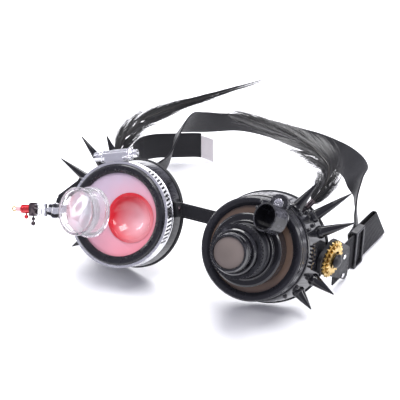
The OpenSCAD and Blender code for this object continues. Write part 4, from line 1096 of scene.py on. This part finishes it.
class GogglesFeathers(bpy.types.Operator):
    """Grows the two feathers: a quill with many loose strands in tufts"""

    bl_idname = "goggles.feathers"
    bl_label = "Feathers"
    bl_options = {"REGISTER", "UNDO"}

    # Points from one chosen point to the next, joints of a strand, tufts of a feather
    STEPS = 10
    JOINTS = 7
    TUFTS = 110

    # Half the scope feather's greatest width, and the radius at the quill's foot
    HALF_WIDTH = 9.0
    QUILL_R = 0.75

    # How much of its radius a strand or the quill loses on its way to the tip
    TAPER_OFF = 0.85

    # How many strands stray, how much further they reach, and how far they drop
    STRAY_SHARE = 0.08
    STRAY_REACH = 1.5
    STRAY_DROP = 1.2

    # The way the feathers' flat side faces, and the points of their quills
    FACE = Vector((0.34, -0.76, 0.55))
    SCOPE_ROUTE = (quill_point(SCOPE, 2.6), quill_point(SCOPE, 7), (69.5, 53, 70.5), (67, 62, 75.5),
                   (55, 74, 76), (39, 87, 73), (20, 98, 70), (-2, 110, 66), (-22, 120, 62.5))
    RED_ROUTE = (quill_point(RED, 2.6), quill_point(RED, 7), (-64, 56, 69.5), (-60, 68, 74), (-53, 80, 75.5),
                 (-45, 95, 75.5), (-33, 112, 76), (-17.6, 130, 78), (-5.6, 143, 79.7))

    def execute(self, context):
        sizes = context.scene.goggles_sizes
        self.feather("scope_feather", self.SCOPE_ROUTE, 0.75, self.HALF_WIDTH, sizes, seed=11)
        self.feather("red_feather", self.RED_ROUTE, 2.2, self.HALF_WIDTH * 0.85, sizes, seed=23)
        return {"FINISHED"}

    def half_width(self, share, taper):
        """How wide the feather is at a share of its length, as a share of its widest."""
        start, rise, least = 0.06, 0.6, 0.06
        grown = max(0.0, (share - start) / (1 - start))
        widest_at = rise / (rise + taper)
        swell = grown ** rise * max(0.0, 1 - grown) ** taper
        most = widest_at ** rise * (1 - widest_at) ** taper
        return least + (1 - least) * swell / most

    def feather(self, node, points, taper, widest, sizes, seed):
        """One feather: its strands in tufts, and its quill."""
        dice = random.Random(seed)
        route = smooth_route(points, self.STEPS)
        last = len(route) - 1
        form = bmesh.new()
        tone = form.verts.layers.float.new("strand_tone")
        tufts = [self.tuft(dice) for k in range(self.TUFTS)]
        for k in range(sizes.strands):
            self.strand(form, tone, dice, tufts[k % self.TUFTS], route, taper, widest, sizes.strand_r)
        placed(form, node + "_strands", "feather", node, TABLE_FRAME, [node])
        self.quill(node, route, last)

    def tuft(self, dice):
        """Where a tuft leaves the quill, how long it is, and how it spreads, lifts, curls and shines."""
        start = dice.random() ** 1.25 * 0.86
        return {"start": start, "length": min(0.97 - start, dice.uniform(0.13, 0.34)),
                "side": dice.choice((-1, 1)), "reach": dice.uniform(0.05, 1.0) ** 0.7,
                "lift": dice.uniform(-0.7, 0.7), "curl": dice.uniform(-1.4, 1.4),
                "shine": dice.random() ** 2.2}

    def strand(self, form, tone, dice, tuft, route, taper, widest, strand_r):
        """One strand: it leaves the quill with its tuft, spreads to one side and trails to a fine tip."""
        last = len(route) - 1
        start = min(0.9, max(0.0, tuft["start"] + dice.uniform(-0.02, 0.02)))
        length = min(0.98 - start, tuft["length"] * dice.uniform(0.75, 1.1))
        side = tuft["side"]
        reach = side * min(1.1, max(0.02, tuft["reach"] + dice.gauss(0, 0.07)))
        lift = tuft["lift"] + dice.gauss(0, 0.12)
        stray = dice.random() < self.STRAY_SHARE
        curl = tuft["curl"] + dice.gauss(0, 0.3)
        shine = min(1.0, tuft["shine"] * dice.uniform(0.4, 1.3))
        thick = strand_r * dice.uniform(0.6, 1.3)
        further = self.STRAY_REACH if stray else 1.0
        drop = self.STRAY_DROP if stray else 0.0
        rings = []
        for j in range(self.JOINTS + 1):
            share = j / self.JOINTS
            at = (start + length * share) * last
            i = min(int(at), last - 1)
            centre = route[i].lerp(route[i + 1], at - i)
            along = tangent_at(route, i)
            face = square_to(self.FACE, along)
            across = along.cross(face)
            width = widest * self.half_width(min(1.0, at / last), taper)
            out = width * reach * share ** 0.75 * further
            rise = width * 0.30 * lift * share + curl * share ** 2
            centre = (centre + across * (out + 0.35 * side) + face * rise
                      + Vector((0, 0, -drop * share ** 3)))
            r = thick * (1 - self.TAPER_OFF * share)
            rings.append(self.ring(form, tone, centre, across, face, r, shine))
        form.faces.new(reversed(rings[0]))
        form.faces.new(rings[-1])
        for ring, after in zip(rings, rings[1:]):
            for corner in range(3):
                turn = (corner + 1) % 3
                form.faces.new((ring[corner], ring[turn], after[turn], after[corner]))

    def ring(self, form, tone, centre, across, face, r, shine):
        """Three corners round a point of a strand."""
        ring = []
        for corner in range(3):
            angle = 2 * math.pi * corner / 3
            vert = form.verts.new(centre + across * (r * math.cos(angle)) + face * (r * math.sin(angle)))
            vert[tone] = shine
            ring.append(vert)
        return ring

    def quill(self, node, route, last):
        """The stiff quill that the strands grow from."""
        form = bmesh.new()
        bmesh.ops.create_cone(form, segments=8, radius1=1, radius2=1, depth=1, cap_ends=True)
        side_edges = [e for e in form.edges if abs(e.verts[0].co.z - e.verts[1].co.z) > 0.5]
        bmesh.ops.subdivide_edges(form, edges=side_edges, cuts=last - 1, use_grid_fill=True)
        for vert in form.verts:
            i = round((vert.co.z + 0.5) * last)
            along = tangent_at(route, i)
            face = square_to(self.FACE, along)
            r = self.QUILL_R * (1 - self.TAPER_OFF * i / last)
            vert.co = route[i] + face * vert.co.x * r + along.cross(face) * vert.co.y * r
        placed(form, node + "_quill", "quill", node, TABLE_FRAME)


OPERATORS = (GogglesStage, GogglesCups, GogglesPads, GogglesLenses, GogglesClamp, GogglesLoupe, GogglesScope,
             GogglesSight, GogglesSpikes, GogglesGears, GogglesLeather, GogglesWebbing, GogglesHeadStrap,
             GogglesFeathers)


class GogglesPanel(bpy.types.Panel):
    """Lists the goggles' operators and their settings"""

    bl_idname = "VIEW3D_PT_goggles"
    bl_label = "Steampunk Goggles"
    bl_space_type = "VIEW_3D"
    bl_region_type = "UI"
    bl_category = "Goggles"

    def draw(self, context):
        for operator in OPERATORS:
            self.layout.operator(operator.bl_idname)
        for group in (context.scene.goggles_sizes, context.scene.goggles_colours):
            box = self.layout.box()
            for key in group.bl_rna.properties.keys():
                if key not in ("rna_type", "name"):
                    box.prop(group, key)


CLASSES = (GogglesSizes, GogglesColours, *OPERATORS, GogglesPanel)


def register():
    for item in CLASSES:
        bpy.utils.register_class(item)
    bpy.types.Scene.goggles_sizes = PointerProperty(type=GogglesSizes)
    bpy.types.Scene.goggles_colours = PointerProperty(type=GogglesColours)


def unregister():
    del bpy.types.Scene.goggles_colours
    del bpy.types.Scene.goggles_sizes
    for item in reversed(CLASSES):
        bpy.utils.unregister_class(item)


def main():
    """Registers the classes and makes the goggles."""
    register()
    colours = bpy.context.scene.goggles_colours
    for make in (make_plastics, make_glasses, make_metals, make_cloths):
        make(colours)
    for operator in OPERATORS:
        getattr(bpy.ops.goggles, operator.bl_idname.split(".")[1])()


if __name__ == "__main__":
    main()
